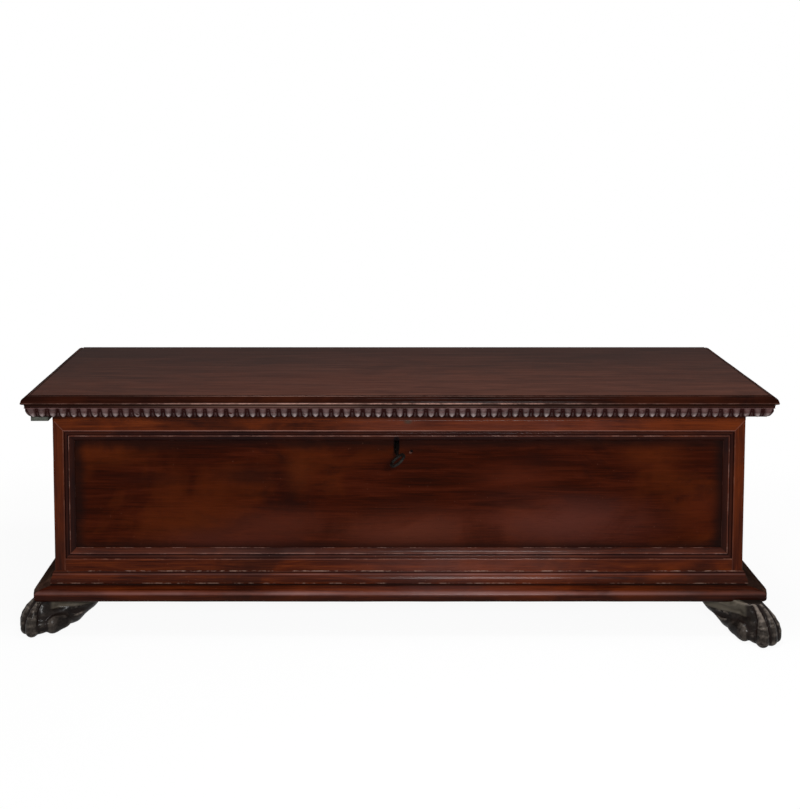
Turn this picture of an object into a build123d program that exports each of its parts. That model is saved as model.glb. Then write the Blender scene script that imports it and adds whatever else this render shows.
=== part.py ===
from build123d import *
import math
import os

os.makedirs("parts", exist_ok=True)

# A walnut cassone: a hinged lid over a boarded chest that stands on four carved paw feet.
# Millimetres. X runs along the chest, the front faces -Y and Z is up. The origin lies on the
# floor, halfway along the chest and halfway from the foremost toe to the back of the hinges.

# ---------------------------------------------------------------- driving dimensions
# Lid
side_overhang = 62.0  # nose of the lid beyond each end of the chest
lid_depth = 620.0  # from the nose of the front moulding to the rear edge
lid_thickness = 28.0
lid_front_board_depth = 292.0
lid_moulding_width = 40.0
lid_nose_height = 14.0  # nose of the edge moulding above the lid's underside
lid_nose_drop = 5.0  # depth of the nose's upright lip
lid_nose_undercut = 3.0
lid_step_inset = 7.0
lid_step_rise = 8.0
lid_foot_inset = 9.0  # foot of the edge moulding behind its nose
lid_ovolo_swell = 2.5  # how far the ovolo bulges out of a straight bevel
lid_groove_inset = 19.0  # groove between the flat top and the edge moulding
lid_groove_width = 3.0
lid_groove_depth = 2.0
lid_fillet_width = 4.0  # narrow flat between the groove and the ovolo
lid_fillet_drop = 1.0

# Gadrooned strip under the lid's edge, and the cleats behind it
strip_height = 25.0
strip_inset = 8.0  # strip's top edge behind the nose
strip_batter = 4.0  # how far the strip's bottom edge lies behind its top edge
strip_belly = 2.0
strip_thickness = 22.0
cleat_drop = 12.0  # the left cleat hangs this far below its strip
cleat_lap_inset = 18.0  # its lower part reaches out under the strip
cleat_gap = 2.0  # cleats clear of the ends of the chest

# Chest
carcass_width = 1676.0
carcass_height = 474.0  # from the underside of the floor boards to the top edges
front_overhang = 62.0  # lid nose ahead of the front frame
front_board_thickness = 24.0
end_board_thickness = 24.0
back_board_thickness = 24.0
back_lower_height = 241.0
floor_thickness = 18.0
floor_front_depth = 280.0

# Frame and bead mouldings planted on the front board
frame_thickness = 11.0
stile_width = 26.0
top_strip_height = 28.0
top_strip_drop = 43.0  # frame's top edge below the top of the chest
bottom_strip_height = 29.0  # the part that shows above the base moulding
bead_width = 25.0
bead_thickness = 10.0
bead_round_width = 9.0
bead_round_rise = 1.5
bead_quirk_width = 2.0
bead_quirk_depth = 3.0
bead_swell = 2.0
bead_edge_thickness = 2.0

# Base moulding
base_height = 59.0
base_projection = 40.5
base_torus_height = 20.0
base_torus_setback = 9.0  # crown of the torus behind its nose
base_shelf_projection = 8.0
base_shelf_rise = 4.0
base_groove_projection = 5.0
base_groove_height = 3.0
base_bead_projection = 10.0
base_bead_height = 15.0
base_fillet_projection = 4.5
base_fillet_height = 6.0
base_top_chamfer = 2.0

# Paw feet
foot_height = 92.0
toe_reach = 110.0  # longest toe ahead of the heel
toe_radius = 14.0
toe_half_length = 38.0
toe_centre_height = 20.0
toe_droop = 18.0  # degrees below level
ankle_reach = 72.0  # top of the foot ahead of the heel
hock_reach = 100.0  # top of the foot behind the heel
knuckle_setback = 16.0
paw_knuckle_height = 48.0
ball_setback = 22.0
paw_half_width = 40.0
paw_heel_half_width = 35.0
paw_flare_start = 10.0
hock_hollow = 10.0
front_left_heel = (38.0, 26.0)  # heel in from the side and from the front of the chest
front_right_heel = (23.0, 4.0)
rear_heel = (38.0, 48.0)  # heel in from the side and from the back of the chest
front_left_heading = 210.0  # degrees in plan from +X
front_right_heading = -58.0

# Hinges
hinge_x = 560.0
hinge_width = 36.0
hinge_strap_length = 180.0
hinge_leaf_length = 140.0
hinge_iron = 3.0
knuckle_radius = 5.5
knuckle_stand_off = 0.5  # knuckle clear of the back of the chest
knuckle_width = 12.0
knuckle_gap = 0.3
hinge_pin_radius = 2.5
hinge_pin_fit = 0.05
hinge_pin_head_radius = 4.0
hinge_pin_head = 2.0
strap_sink = 0.2  # strap's face sunk below the lid's underside

# Lock and key
lock_x = -5.0
key_drop = 107.0  # key axis at the board's face, below the top of the chest
key_droop = 14.0  # degrees that the key hangs down in its worn hole
keyhole_radius = 7.0
keyhole_slot_width = 9.0
keyhole_drop = 20.0  # foot of the slot below the key axis
keyhole_rise = 12.0  # centre of the round end above the key axis
lock_plate_width = 128.0
lock_plate_height = 132.0
lock_plate_drop = 6.0  # top of the plate below the top of the chest
lock_iron = 3.0
case_width = 104.0
case_depth = 30.0
case_wall = 2.0
case_height = 118.0
case_drop = 9.0
bolt_throw = 14.0
bolt_iron = 6.5
bolt_plate_width = 46.0
bolt_plate_height = 56.0
bolt_head_size = 8.0
bolt_head_shoulder = 24.0
bolt_stand_off = 0.3
bolt_past_staple = 4.0  # how far the thrown bolt stands past the staple
bolt_tip_length = 14.0
stud_radius = 3.0
stud_clearance = 0.5
stud_inset = 12.0
stud_heights = (13.0, 33.0)  # above the foot of the bolt plate
key_shank_radius = 3.5
key_fit = 0.08
key_tail = 61.0  # end of the shank, inwards from the board's face
key_outside = 74.0  # from the board's face to the centre of the bow
key_bow_width = 44.0
key_bow_length = 38.0
key_bow_wire = 6.0
key_bow_iron = 5.0
key_roll = 40.0  # degrees that the bow is turned from level
key_bit_radius = 17.0
key_bit_width = 9.0
key_bit_iron = 3.5
key_bit_start = 38.0  # along the key axis, inwards from the board's face
staple_iron = 4.0
staple_width = 6.0
staple_drop = 28.0  # foot of the staple below the lid
staple_play = 1.0  # tip of the bolt clear of each leg of the staple
staple_leg = 18.0  # length of the legs in the lid
staple_offset = 30.0  # staple's centre beyond the key, along X
staple_clearance = 1.2
let_in = 0.1  # iron let into wood

# Nails
nail_radius = 1.8
nail_head_radius = 5.5
nail_head = 2.0
nail_head_taper = 30.0
nail_fit = 0.05
strap_nail = 15.0  # length in the lid
leaf_nail = 16.0
lock_nail = 16.0
lock_nail_edge = 6.5
foot_nail = 26.0  # length in the paw
foot_nail_spacing = 30.0
foot_nail_setback = 60.0
hinge_nail_pitch = 45.0
hinge_nail_edge = 20.0

# ---------------------------------------------------------------- places worked out from them
# Toes of a paw: distance to the outer side of its centre line, and how far they stop short
toes = ((-30.0, 42.0), (-10.0, 4.0), (10.0, 0.0), (32.0, 6.0))

# Outline of a paw seen from above: distance ahead of the heel, and to the outer side of its centre line
paw_plan = (
    (-hock_reach - 1, -paw_heel_half_width),
    (paw_flare_start, -paw_half_width),
    (ankle_reach - 2 * knuckle_setback, -paw_half_width),
    (toe_reach - 1.5 * knuckle_setback, -knuckle_setback),
    (toe_reach - knuckle_setback / 2, knuckle_setback / 2),
    (toe_reach - knuckle_setback, paw_half_width - knuckle_setback / 4),
    (ankle_reach - knuckle_setback, paw_half_width),
    (paw_flare_start, paw_half_width),
    (-hock_reach - 1, paw_heel_half_width),
)

right_angle_sine = math.sin(math.radians(front_right_heading))
right_angle_cosine = math.cos(math.radians(front_right_heading))
toe_tips_ahead = [-(toe_reach - short) * right_angle_sine - side * right_angle_cosine for side, short in toes]
toes_past_lid = max(toe_tips_ahead) - front_right_heel[1] - front_overhang
knuckle_reach = knuckle_stand_off + 2 * knuckle_radius
overall_depth = toes_past_lid + lid_depth + knuckle_reach
lid_front = toes_past_lid - overall_depth / 2
lid_back = lid_front + lid_depth
chest_front = lid_front + front_overhang
chest_back = lid_back
board_face = chest_front + frame_thickness
board_inside = board_face + front_board_thickness
back_inside = chest_back - back_board_thickness
lid_width = carcass_width + 2 * side_overhang
half_lid = lid_width / 2
half_chest = carcass_width / 2
half_inside = half_chest - end_board_thickness
half_opening = half_chest - stile_width
floor_bottom = foot_height
floor_top = floor_bottom + floor_thickness
base_top = floor_bottom + base_height
lid_underside = floor_bottom + carcass_height
frame_top = lid_underside - top_strip_drop
opening_top = frame_top - top_strip_height
opening_bottom = base_top + bottom_strip_height
strip_back = strip_inset + strip_thickness
nail_hole_radius = nail_radius + nail_fit
sides = {"left": -1, "right": 1}


def save(part, name):
    part.label = name
    export_step(part, f"parts/{name}.step")


def corner_plane(half_width, front, side):
    """Upright plane through a front corner at 45 degrees; its normal points at the front's own piece."""
    return Plane(origin=(side * half_width, front, 0), x_dir=(0, 0, 1), z_dir=(-side, -1, 0))


def board(low, high):
    """A plain board between two opposite corners."""
    size = [high[i] - low[i] for i in range(3)]
    middle = [(high[i] + low[i]) / 2 for i in range(3)]
    with Locations(tuple(middle)):
        Box(*size)


def pockets(low, high):
    """Cuts a box-shaped pocket between two opposite corners."""
    size = [high[i] - low[i] for i in range(3)]
    middle = [(high[i] + low[i]) / 2 for i in range(3)]
    with Locations(tuple(middle)):
        Box(*size, mode=Mode.SUBTRACT)


def nail_holes(plane, spots, depth):
    """Round holes drilled from a plane against its normal."""
    with BuildSketch(plane) as holes:
        with Locations(*spots):
            Circle(nail_hole_radius)
    extrude(holes.sketch, amount=-depth, mode=Mode.SUBTRACT)


def nails(plane, spots, length):
    """Forged nails driven against the plane's normal, their faceted heads standing on the plane."""
    with BuildSketch(plane) as shanks:
        with Locations(*spots):
            Circle(nail_radius)
    extrude(shanks.sketch, amount=-length)
    with BuildSketch(plane) as heads:
        with Locations(*spots):
            RegularPolygon(nail_head_radius, 8)
    extrude(heads.sketch, amount=nail_head, taper=nail_head_taper)


# ---------------------------------------------------------------- lid: edge mouldings and gadrooned strips
def lid_edge_outline(at):
    """Section of the edge moulding; at(inset, height) is behind the nose and above the lid's underside."""
    quirk = lid_groove_inset - lid_groove_width
    ovolo_inset = quirk - lid_fillet_width
    ovolo_height = lid_thickness - lid_fillet_drop
    middle_inset = ovolo_inset / 2 - lid_ovolo_swell
    middle_height = (ovolo_height + lid_nose_height) / 2 + lid_ovolo_swell
    lip_height = lid_nose_height - lid_nose_drop
    Polyline(
        at(0, lid_nose_height),
        at(lid_nose_undercut, lip_height),
        at(lid_step_inset, lid_step_rise),
        at(lid_foot_inset, 0),
        at(lid_moulding_width, 0),
        at(lid_moulding_width, lid_thickness),
        at(lid_groove_inset, lid_thickness),
        at(lid_groove_inset - lid_groove_width / 2, lid_thickness - lid_groove_depth),
        at(quirk, ovolo_height),
        at(ovolo_inset, ovolo_height),
    )
    ThreePointArc(at(ovolo_inset, ovolo_height), at(middle_inset, middle_height), at(0, lid_nose_height))


def strip_outline(at):
    """Section of the gadrooned strip, in the same terms."""
    foot_inset = strip_inset + strip_batter
    middle_inset = (strip_inset + foot_inset) / 2 - strip_belly
    Polyline(
        at(foot_inset, -strip_height),
        at(strip_back, -strip_height),
        at(strip_back, 0),
        at(strip_inset, 0),
    )
    ThreePointArc(at(strip_inset, 0), at(middle_inset, -strip_height / 2), at(foot_inset, -strip_height))


def at_lid_front(inset, height):
    return (lid_front + inset, lid_underside + height)


def at_lid_side(side):
    return lambda inset, height: (side * (half_lid - inset), lid_underside + height)


for outline, kind in ((lid_edge_outline, "moulding"), (strip_outline, "gadroon")):
    with BuildPart() as front_run:
        with BuildSketch(Plane.YZ.offset(-half_lid)):
            with BuildLine():
                outline(at_lid_front)
            make_face()
        extrude(amount=lid_width)
        for side in sides.values():
            split(bisect_by=corner_plane(half_lid, lid_front, side), keep=Keep.TOP)
    save(front_run.part, f"lid_front_{kind}")
    for word, side in sides.items():
        with BuildPart() as side_run:
            with BuildSketch(Plane.XZ.offset(-lid_back)):
                with BuildLine():
                    outline(at_lid_side(side))
                make_face()
            extrude(amount=lid_depth)
            split(bisect_by=corner_plane(half_lid, lid_front, side), keep=Keep.BOTTOM)
        save(side_run.part, f"lid_{word}_{kind}")

# Cleats under the lid, outside the ends of the chest; the left one is deeper and laps under its strip
cleat_inset = half_lid - half_chest - cleat_gap
left_cleat_foot = -strip_height - cleat_drop
cleat_sections = {
    "left": (
        (strip_back, 0),
        (strip_back, -strip_height),
        (cleat_lap_inset, -strip_height),
        (cleat_lap_inset, left_cleat_foot),
        (cleat_inset, left_cleat_foot),
        (cleat_inset, 0),
    ),
    "right": (
        (strip_back, 0),
        (strip_back, -strip_height),
        (cleat_inset, -strip_height),
        (cleat_inset, 0),
    ),
}
for word, side in sides.items():
    corners = [at_lid_side(side)(inset, height) for inset, height in cleat_sections[word]]
    with BuildPart() as cleat:
        with BuildSketch(Plane.XZ.offset(-lid_back)):
            Polygon(*corners, align=None)
        extrude(amount=lid_depth - strip_back)
    save(cleat.part, f"lid_{word}_cleat")

# ---------------------------------------------------------------- hinge places
hinge_axis_y = chest_back + knuckle_stand_off + knuckle_radius
strap_bottom = lid_underside + strap_sink
strap_top = strap_bottom + hinge_iron
hinge_axis_z = strap_top - knuckle_radius
leaf_top = hinge_axis_z - knuckle_radius - 2 * knuckle_gap
leaf_bottom = leaf_top - hinge_leaf_length
half_hinge = hinge_width / 2
half_knuckle = knuckle_width / 2
strap_front = chest_back - hinge_strap_length
nail_steps = range(3)
strap_nail_spots = [
    (side * hinge_x, strap_front + hinge_nail_edge + step * hinge_nail_pitch)
    for side in sides.values()
    for step in nail_steps
]
leaf_nail_spots = [
    (-side * hinge_x, leaf_bottom + hinge_nail_edge + step * hinge_nail_pitch)
    for side in sides.values()
    for step in nail_steps
]
strap_face = Plane(origin=(0, 0, strap_bottom), x_dir=(1, 0, 0), z_dir=(0, 0, -1))
leaf_face = Plane(origin=(0, chest_back + hinge_iron, 0), x_dir=(-1, 0, 0), z_dir=(0, 1, 0))
strap_nail_spots_below = [(x, -y) for x, y in strap_nail_spots]

# ---------------------------------------------------------------- lock places
plate_face = board_inside + lock_iron
key_z = lid_underside - key_drop
droop_sine = math.sin(math.radians(key_droop))
droop_cosine = math.cos(math.radians(key_droop))
roll_sine = math.sin(math.radians(key_roll))
roll_cosine = math.cos(math.radians(key_roll))
key_axis = (0, droop_cosine, droop_sine)
key_across = (roll_cosine, -roll_sine * droop_sine, roll_sine * droop_cosine)
key_plane = Plane(origin=(lock_x, board_face, key_z), x_dir=key_across, z_dir=key_axis)
staple_x = lock_x + staple_offset
bolt_front = plate_face + bolt_stand_off
head_front = bolt_front + bolt_iron
head_back = head_front + bolt_head_size
staple_front = head_front - staple_play - staple_iron
staple_back = head_back + staple_play + staple_iron
staple_foot = lid_underside - staple_drop
staple_low = staple_x - staple_width / 2
staple_high = staple_x + staple_width / 2
plate_top = lid_underside - lock_plate_drop
plate_bottom = plate_top - lock_plate_height
half_plate = lock_plate_width / 2
case_top = lid_underside - case_drop
case_bottom = case_top - case_height
half_case = case_width / 2
case_back = plate_face + case_depth
lock_nail_spots = [
    (-(lock_x + across * (half_plate - lock_nail_edge)), height)
    for across in (-1, 1)
    for height in (plate_bottom + lock_nail_edge, plate_top - lock_nail_edge)
]
lock_back_face = Plane(origin=(0, plate_face, 0), x_dir=(-1, 0, 0), z_dir=(0, 1, 0))


def cut_keyhole():
    """Cuts the keyhole, a round top over a slot, right through the board or the plate."""
    slot_height = keyhole_drop + keyhole_rise
    through = frame_thickness + front_board_thickness + 2 * lock_iron
    with BuildSketch(Plane.XZ.offset(-chest_front)) as keyhole:
        with Locations((lock_x, key_z + keyhole_rise)):
            Circle(keyhole_radius)
        with Locations((lock_x, key_z - keyhole_drop)):
            Rectangle(keyhole_slot_width, slot_height, align=(Align.CENTER, Align.MIN))
    extrude(keyhole.sketch, amount=-through, mode=Mode.SUBTRACT)


# ---------------------------------------------------------------- lid: boards
board_front = lid_front + lid_moulding_width
board_joint = board_front + lid_front_board_depth
half_boards = half_lid - lid_moulding_width
lid_top = lid_underside + lid_thickness
staple_legs = ((staple_front, staple_front + staple_iron), (staple_back - staple_iron, staple_back))

with BuildPart() as lid_front_board:
    board((-half_boards, board_front, lid_underside), (half_boards, board_joint, lid_top))
    for leg_front, leg_back in staple_legs:
        low = (staple_low - let_in, leg_front - let_in, lid_underside)
        high = (staple_high + let_in, leg_back + let_in, lid_underside + staple_leg + let_in)
        pockets(low, high)
save(lid_front_board.part, "lid_front_board")

with BuildPart() as lid_rear_board:
    board((-half_boards, board_joint, lid_underside), (half_boards, lid_back, lid_top))
    for side in sides.values():
        low = (side * hinge_x - half_hinge - let_in, strap_front - let_in, lid_underside)
        high = (side * hinge_x + half_hinge + let_in, lid_back, strap_top + let_in)
        pockets(low, high)
    nail_holes(strap_face, strap_nail_spots_below, hinge_iron + strap_nail + nail_fit)
save(lid_rear_board.part, "lid_rear_board")

with BuildPart() as lid_staple:
    board((staple_low, staple_front, staple_foot), (staple_high, staple_back, staple_foot + staple_iron))
    for leg_front, leg_back in staple_legs:
        board((staple_low, leg_front, staple_foot), (staple_high, leg_back, lid_underside + staple_leg))
save(lid_staple.part, "lid_staple")

# ---------------------------------------------------------------- hinges
for word, side in sides.items():
    x = side * hinge_x
    axle = Plane(origin=(x, hinge_axis_y, hinge_axis_z), x_dir=(0, 1, 0), z_dir=(1, 0, 0))

    with BuildPart() as strap:
        board((x - half_hinge, strap_front, strap_bottom), (x + half_hinge, chest_back - knuckle_gap, strap_top))
        half_tongue = half_knuckle - knuckle_gap / 2
        board((x - half_tongue, chest_back - 1, strap_bottom), (x + half_tongue, hinge_axis_y, strap_top))
        with BuildSketch(axle):
            Circle(knuckle_radius)
        extrude(amount=half_tongue, both=True)
        with BuildSketch(axle):
            Circle(hinge_pin_radius + hinge_pin_fit)
        extrude(amount=hinge_width, both=True, mode=Mode.SUBTRACT)
        nail_holes(strap_face, strap_nail_spots_below, hinge_iron + 1)
    save(strap.part, f"hinge_{word}_strap")

    with BuildPart() as leaf:
        leaf_outer = chest_back + hinge_iron
        board((x - half_hinge, chest_back, leaf_bottom), (x + half_hinge, leaf_outer, leaf_top))
        for end in (-1, 1):
            near = x + end * (half_knuckle + knuckle_gap / 2)
            far = x + end * half_hinge
            low = (min(near, far), chest_back, leaf_top - 1)
            high = (max(near, far), leaf_outer, hinge_axis_z)
            board(low, high)
            with BuildSketch(axle.offset(min(near, far) - x)):
                Circle(knuckle_radius)
            extrude(amount=abs(far - near))
        with BuildSketch(axle):
            Circle(hinge_pin_radius + hinge_pin_fit)
        extrude(amount=hinge_width, both=True, mode=Mode.SUBTRACT)
        nail_holes(leaf_face, leaf_nail_spots, hinge_iron + 1)
    save(leaf.part, f"hinge_{word}_leaf")

    with BuildPart() as pin:
        with BuildSketch(axle):
            Circle(hinge_pin_radius)
        extrude(amount=half_hinge, both=True)
        with BuildSketch(axle.offset(half_hinge)):
            Circle(hinge_pin_head_radius)
        extrude(amount=hinge_pin_head)
    save(pin.part, f"hinge_{word}_pin")

with BuildPart() as strap_nails:
    nails(strap_face, strap_nail_spots_below, hinge_iron + strap_nail)
save(strap_nails.part, "hinge_strap_nails")

with BuildPart() as leaf_nails:
    nails(leaf_face, leaf_nail_spots, hinge_iron + leaf_nail)
save(leaf_nails.part, "hinge_leaf_nails")

# ---------------------------------------------------------------- chest: front
with BuildPart() as front_board:
    board((-half_inside, board_face, floor_top), (half_inside, board_inside, lid_underside))
    cut_keyhole()
    nail_holes(lock_back_face, lock_nail_spots, lock_iron + lock_nail + nail_fit)
save(front_board.part, "front_board")

with BuildPart() as front_top_band:
    board((-half_chest, chest_front, frame_top), (half_chest, board_face, lid_underside))
save(front_top_band.part, "front_top_band")

frame_pieces = {
    "front_frame_top": (
        (-half_chest, frame_top),
        (half_chest, frame_top),
        (half_opening, opening_top),
        (-half_opening, opening_top),
    ),
    "front_frame_bottom": (
        (-half_opening, floor_top),
        (half_opening, floor_top),
        (half_opening, opening_bottom),
        (-half_opening, opening_bottom),
    ),
}
for word, side in sides.items():
    frame_pieces[f"front_frame_{word}"] = (
        (side * half_chest, floor_top),
        (side * half_opening, floor_top),
        (side * half_opening, opening_top),
        (side * half_chest, frame_top),
    )
for name, corners in frame_pieces.items():
    with BuildPart() as frame_strip:
        with BuildSketch(Plane.XZ.offset(-chest_front)):
            Polygon(*corners, align=None)
        extrude(amount=-frame_thickness)
    save(frame_strip.part, name)


def bead_outline(at):
    """Section of the inner moulding; at(inset, rise) is in from the frame and out from the board."""
    shoulder = bead_thickness - bead_round_rise
    quirk_inset = bead_round_width + bead_quirk_width
    slope_rise = (shoulder + bead_edge_thickness) / 2 + bead_swell
    slope_inset = (quirk_inset + bead_width) / 2
    ThreePointArc(at(0, shoulder), at(bead_round_width / 2, bead_thickness), at(bead_round_width, shoulder))
    Polyline(
        at(bead_round_width, shoulder),
        at(bead_round_width + bead_quirk_width / 2, bead_thickness - bead_quirk_depth),
        at(quirk_inset, shoulder),
    )
    ThreePointArc(at(quirk_inset, shoulder), at(slope_inset, slope_rise), at(bead_width, bead_edge_thickness))
    Polyline(at(bead_width, bead_edge_thickness), at(bead_width, 0), at(0, 0), at(0, shoulder))


def bead_mitre(side, edge):
    """Plane through a corner of the frame's opening, its normal towards the top or bottom piece."""
    corner = (side * half_opening, 0, opening_top if edge > 0 else opening_bottom)
    return Plane(origin=corner, x_dir=(0, 1, 0), z_dir=(-side, 0, edge))


for word, edge in (("top", 1), ("bottom", -1)):
    level = opening_top if edge > 0 else opening_bottom
    with BuildPart() as long_bead:
        with BuildSketch(Plane.YZ.offset(-half_opening)):
            with BuildLine():
                bead_outline(lambda inset, rise: (board_face - rise, level - edge * inset))
            make_face()
        extrude(amount=2 * half_opening)
        for side in sides.values():
            split(bisect_by=bead_mitre(side, edge), keep=Keep.TOP)
    save(long_bead.part, f"front_bead_{word}")

for word, side in sides.items():
    with BuildPart() as short_bead:
        with BuildSketch(Plane.XY.offset(opening_bottom)):
            with BuildLine():
                bead_outline(lambda inset, rise: (side * (half_opening - inset), board_face - rise))
            make_face()
        extrude(amount=opening_top - opening_bottom)
        for edge in (1, -1):
            split(bisect_by=bead_mitre(side, edge), keep=Keep.BOTTOM)
    save(short_bead.part, f"front_bead_{word}")

# ---------------------------------------------------------------- paw feet: places
feet = {
    "front_left": (
        (-half_chest + front_left_heel[0], chest_front + front_left_heel[1]),
        front_left_heading,
        -1,
    ),
    "front_right": (
        (half_chest - front_right_heel[0], chest_front + front_right_heel[1]),
        front_right_heading,
        1,
    ),
    "rear_left": ((-half_chest + rear_heel[0], chest_back - rear_heel[1]), 180.0, -1),
    "rear_right": ((half_chest - rear_heel[0], chest_back - rear_heel[1]), 0.0, 1),
}
foot_nail_spots = []
for heel, heading, hand in feet.values():
    ahead = (math.cos(math.radians(heading)), math.sin(math.radians(heading)))
    for across in (-foot_nail_spacing / 2, foot_nail_spacing / 2):
        spot_x = heel[0] - foot_nail_setback * ahead[0] - across * ahead[1]
        spot_y = heel[1] - foot_nail_setback * ahead[1] + across * ahead[0]
        foot_nail_spots.append((spot_x, spot_y))
floor_face = Plane.XY.offset(floor_top)

# ---------------------------------------------------------------- chest: ends, back and floor
for word, side in sides.items():
    with BuildPart() as end_board:
        low = (min(side * half_chest, side * half_inside), board_face, floor_top)
        high = (max(side * half_chest, side * half_inside), chest_back, lid_underside)
        board(low, high)
    save(end_board.part, f"{word}_end_board")

back_joint = floor_top + back_lower_height
with BuildPart() as back_lower_board:
    board((-half_inside, back_inside, floor_top), (half_inside, chest_back, back_joint))
save(back_lower_board.part, "back_lower_board")

with BuildPart() as back_upper_board:
    board((-half_inside, back_inside, back_joint), (half_inside, chest_back, lid_underside))
    nail_holes(leaf_face, leaf_nail_spots, hinge_iron + leaf_nail + nail_fit)
save(back_upper_board.part, "back_upper_board")

floor_joint = chest_front + floor_front_depth
with BuildPart() as floor_front_board:
    board((-half_chest, chest_front, floor_bottom), (half_chest, floor_joint, floor_top))
    nail_holes(floor_face, foot_nail_spots, floor_thickness + 1)
save(floor_front_board.part, "floor_front_board")

with BuildPart() as floor_rear_board:
    board((-half_chest, floor_joint, floor_bottom), (half_chest, chest_back, floor_top))
    nail_holes(floor_face, foot_nail_spots, floor_thickness + 1)
save(floor_rear_board.part, "floor_rear_board")


# ---------------------------------------------------------------- base mouldings
def base_outline(at):
    """Section of the base moulding; at(projection, height) is out from the chest, above its underside."""
    crown = base_projection - base_torus_setback
    shelf = base_torus_height + base_shelf_rise
    groove = shelf + base_groove_height
    bead_foot = groove + base_groove_height
    bead_top = bead_foot + base_bead_height
    fillet = base_height - base_fillet_height
    Polyline(at(crown, 0), at(0, 0), at(0, base_height), at(base_fillet_projection - base_top_chamfer, base_height))
    Polyline(
        at(base_fillet_projection - base_top_chamfer, base_height),
        at(base_fillet_projection, base_height - base_top_chamfer),
        at(base_fillet_projection, fillet),
        at(base_groove_projection, bead_top),
    )
    ThreePointArc(
        at(base_groove_projection, bead_top),
        at(base_bead_projection - 1, (bead_foot + bead_top * 2) / 3),
        at(base_bead_projection, bead_foot),
    )
    Polyline(at(base_bead_projection, bead_foot), at(base_groove_projection, groove), at(base_shelf_projection, shelf))
    Line(at(base_shelf_projection, shelf), at(crown, base_torus_height))
    ThreePointArc(at(crown, base_torus_height), at(base_projection, base_torus_height / 2), at(crown, 0))


with BuildPart() as base_front_moulding:
    with BuildSketch(Plane.YZ.offset(-half_chest - base_projection)):
        with BuildLine():
            base_outline(lambda out, height: (chest_front - out, floor_bottom + height))
        make_face()
    extrude(amount=carcass_width + 2 * base_projection)
    for side in sides.values():
        split(bisect_by=corner_plane(half_chest, chest_front, side), keep=Keep.TOP)
save(base_front_moulding.part, "base_front_moulding")

for word, side in sides.items():
    with BuildPart() as base_side_moulding:
        with BuildSketch(Plane.XZ.offset(-chest_back)):
            with BuildLine():
                base_outline(lambda out, height: (side * (half_chest + out), floor_bottom + height))
            make_face()
        extrude(amount=chest_back - chest_front + base_projection)
        split(bisect_by=corner_plane(half_chest, chest_front, side), keep=Keep.BOTTOM)
    save(base_side_moulding.part, f"base_{word}_moulding")

# ---------------------------------------------------------------- paw feet
for name, (heel, heading, hand) in feet.items():
    ahead = (math.cos(math.radians(heading)), math.sin(math.radians(heading)), 0)
    middle_plane = Plane(origin=(heel[0], heel[1], 0), x_dir=ahead, z_dir=(ahead[1], -ahead[0], 0))
    toe_direction = (
        ahead[0] * math.cos(math.radians(toe_droop)),
        ahead[1] * math.cos(math.radians(toe_droop)),
        -math.sin(math.radians(toe_droop)),
    )
    with BuildPart() as paw:
        with BuildSketch(middle_plane):
            with BuildLine():
                heel_point = (0, 0)
                hock_point = (-hock_reach, foot_height)
                hollow_point = (-hock_reach / 2 - hock_hollow / 2, foot_height / 2 + hock_hollow / 2)
                knuckle_point = (toe_reach - knuckle_setback, paw_knuckle_height)
                ball_point = (toe_reach - ball_setback, 0)
                ThreePointArc(heel_point, hollow_point, hock_point)
                Polyline(hock_point, (ankle_reach, foot_height), knuckle_point, ball_point, heel_point)
            make_face()
        extrude(amount=paw_half_width, both=True)
        with BuildSketch(Plane(origin=(heel[0], heel[1], 0), x_dir=ahead, z_dir=(0, 0, 1))):
            Polygon(*[(reach, hand * across) for reach, across in paw_plan], align=None)
        extrude(amount=foot_height, mode=Mode.INTERSECT)
        for toe_side, toe_short in toes:
            centre_ahead = toe_reach - toe_short - toe_half_length
            toe_plane = middle_plane.offset(-hand * toe_side)
            with BuildSketch(toe_plane):
                with Locations(Location((centre_ahead, toe_centre_height), -toe_droop)):
                    Ellipse(toe_half_length, toe_radius)
                    Rectangle(
                        2 * toe_half_length,
                        toe_radius,
                        align=(Align.CENTER, Align.MIN),
                        mode=Mode.INTERSECT,
                    )
            toe_centre = toe_plane.from_local_coords((centre_ahead, toe_centre_height, 0))
            revolve(axis=Axis(toe_centre, toe_direction))
        split(bisect_by=Plane.XY, keep=Keep.TOP)
        nail_holes(Plane.XY.offset(foot_height), foot_nail_spots, foot_nail + nail_fit)
    save(paw.part, f"{name}_paw")

with BuildPart() as foot_nails:
    nails(floor_face, foot_nail_spots, floor_thickness + foot_nail)
save(foot_nails.part, "foot_nails")

# ---------------------------------------------------------------- lock
stud_x = staple_low + bolt_past_staple + staple_width - bolt_throw - bolt_tip_length - stud_inset
bolt_top = staple_foot + staple_iron + bolt_head_size + bolt_past_staple - 1
bolt_foot = bolt_top - bolt_plate_height
bolt_plate_high = stud_x + stud_inset

with BuildPart() as lock_plate:
    board((lock_x - half_plate, board_inside, plate_bottom), (lock_x + half_plate, plate_face, plate_top))
    cut_keyhole()
    nail_holes(lock_back_face, lock_nail_spots, lock_iron + 1)
    with BuildSketch(lock_back_face):
        with Locations(*[(-stud_x, bolt_foot + height) for height in stud_heights]):
            Circle(stud_radius)
    extrude(amount=bolt_stand_off + bolt_iron + stud_clearance)
save(lock_plate.part, "lock_plate")

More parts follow.
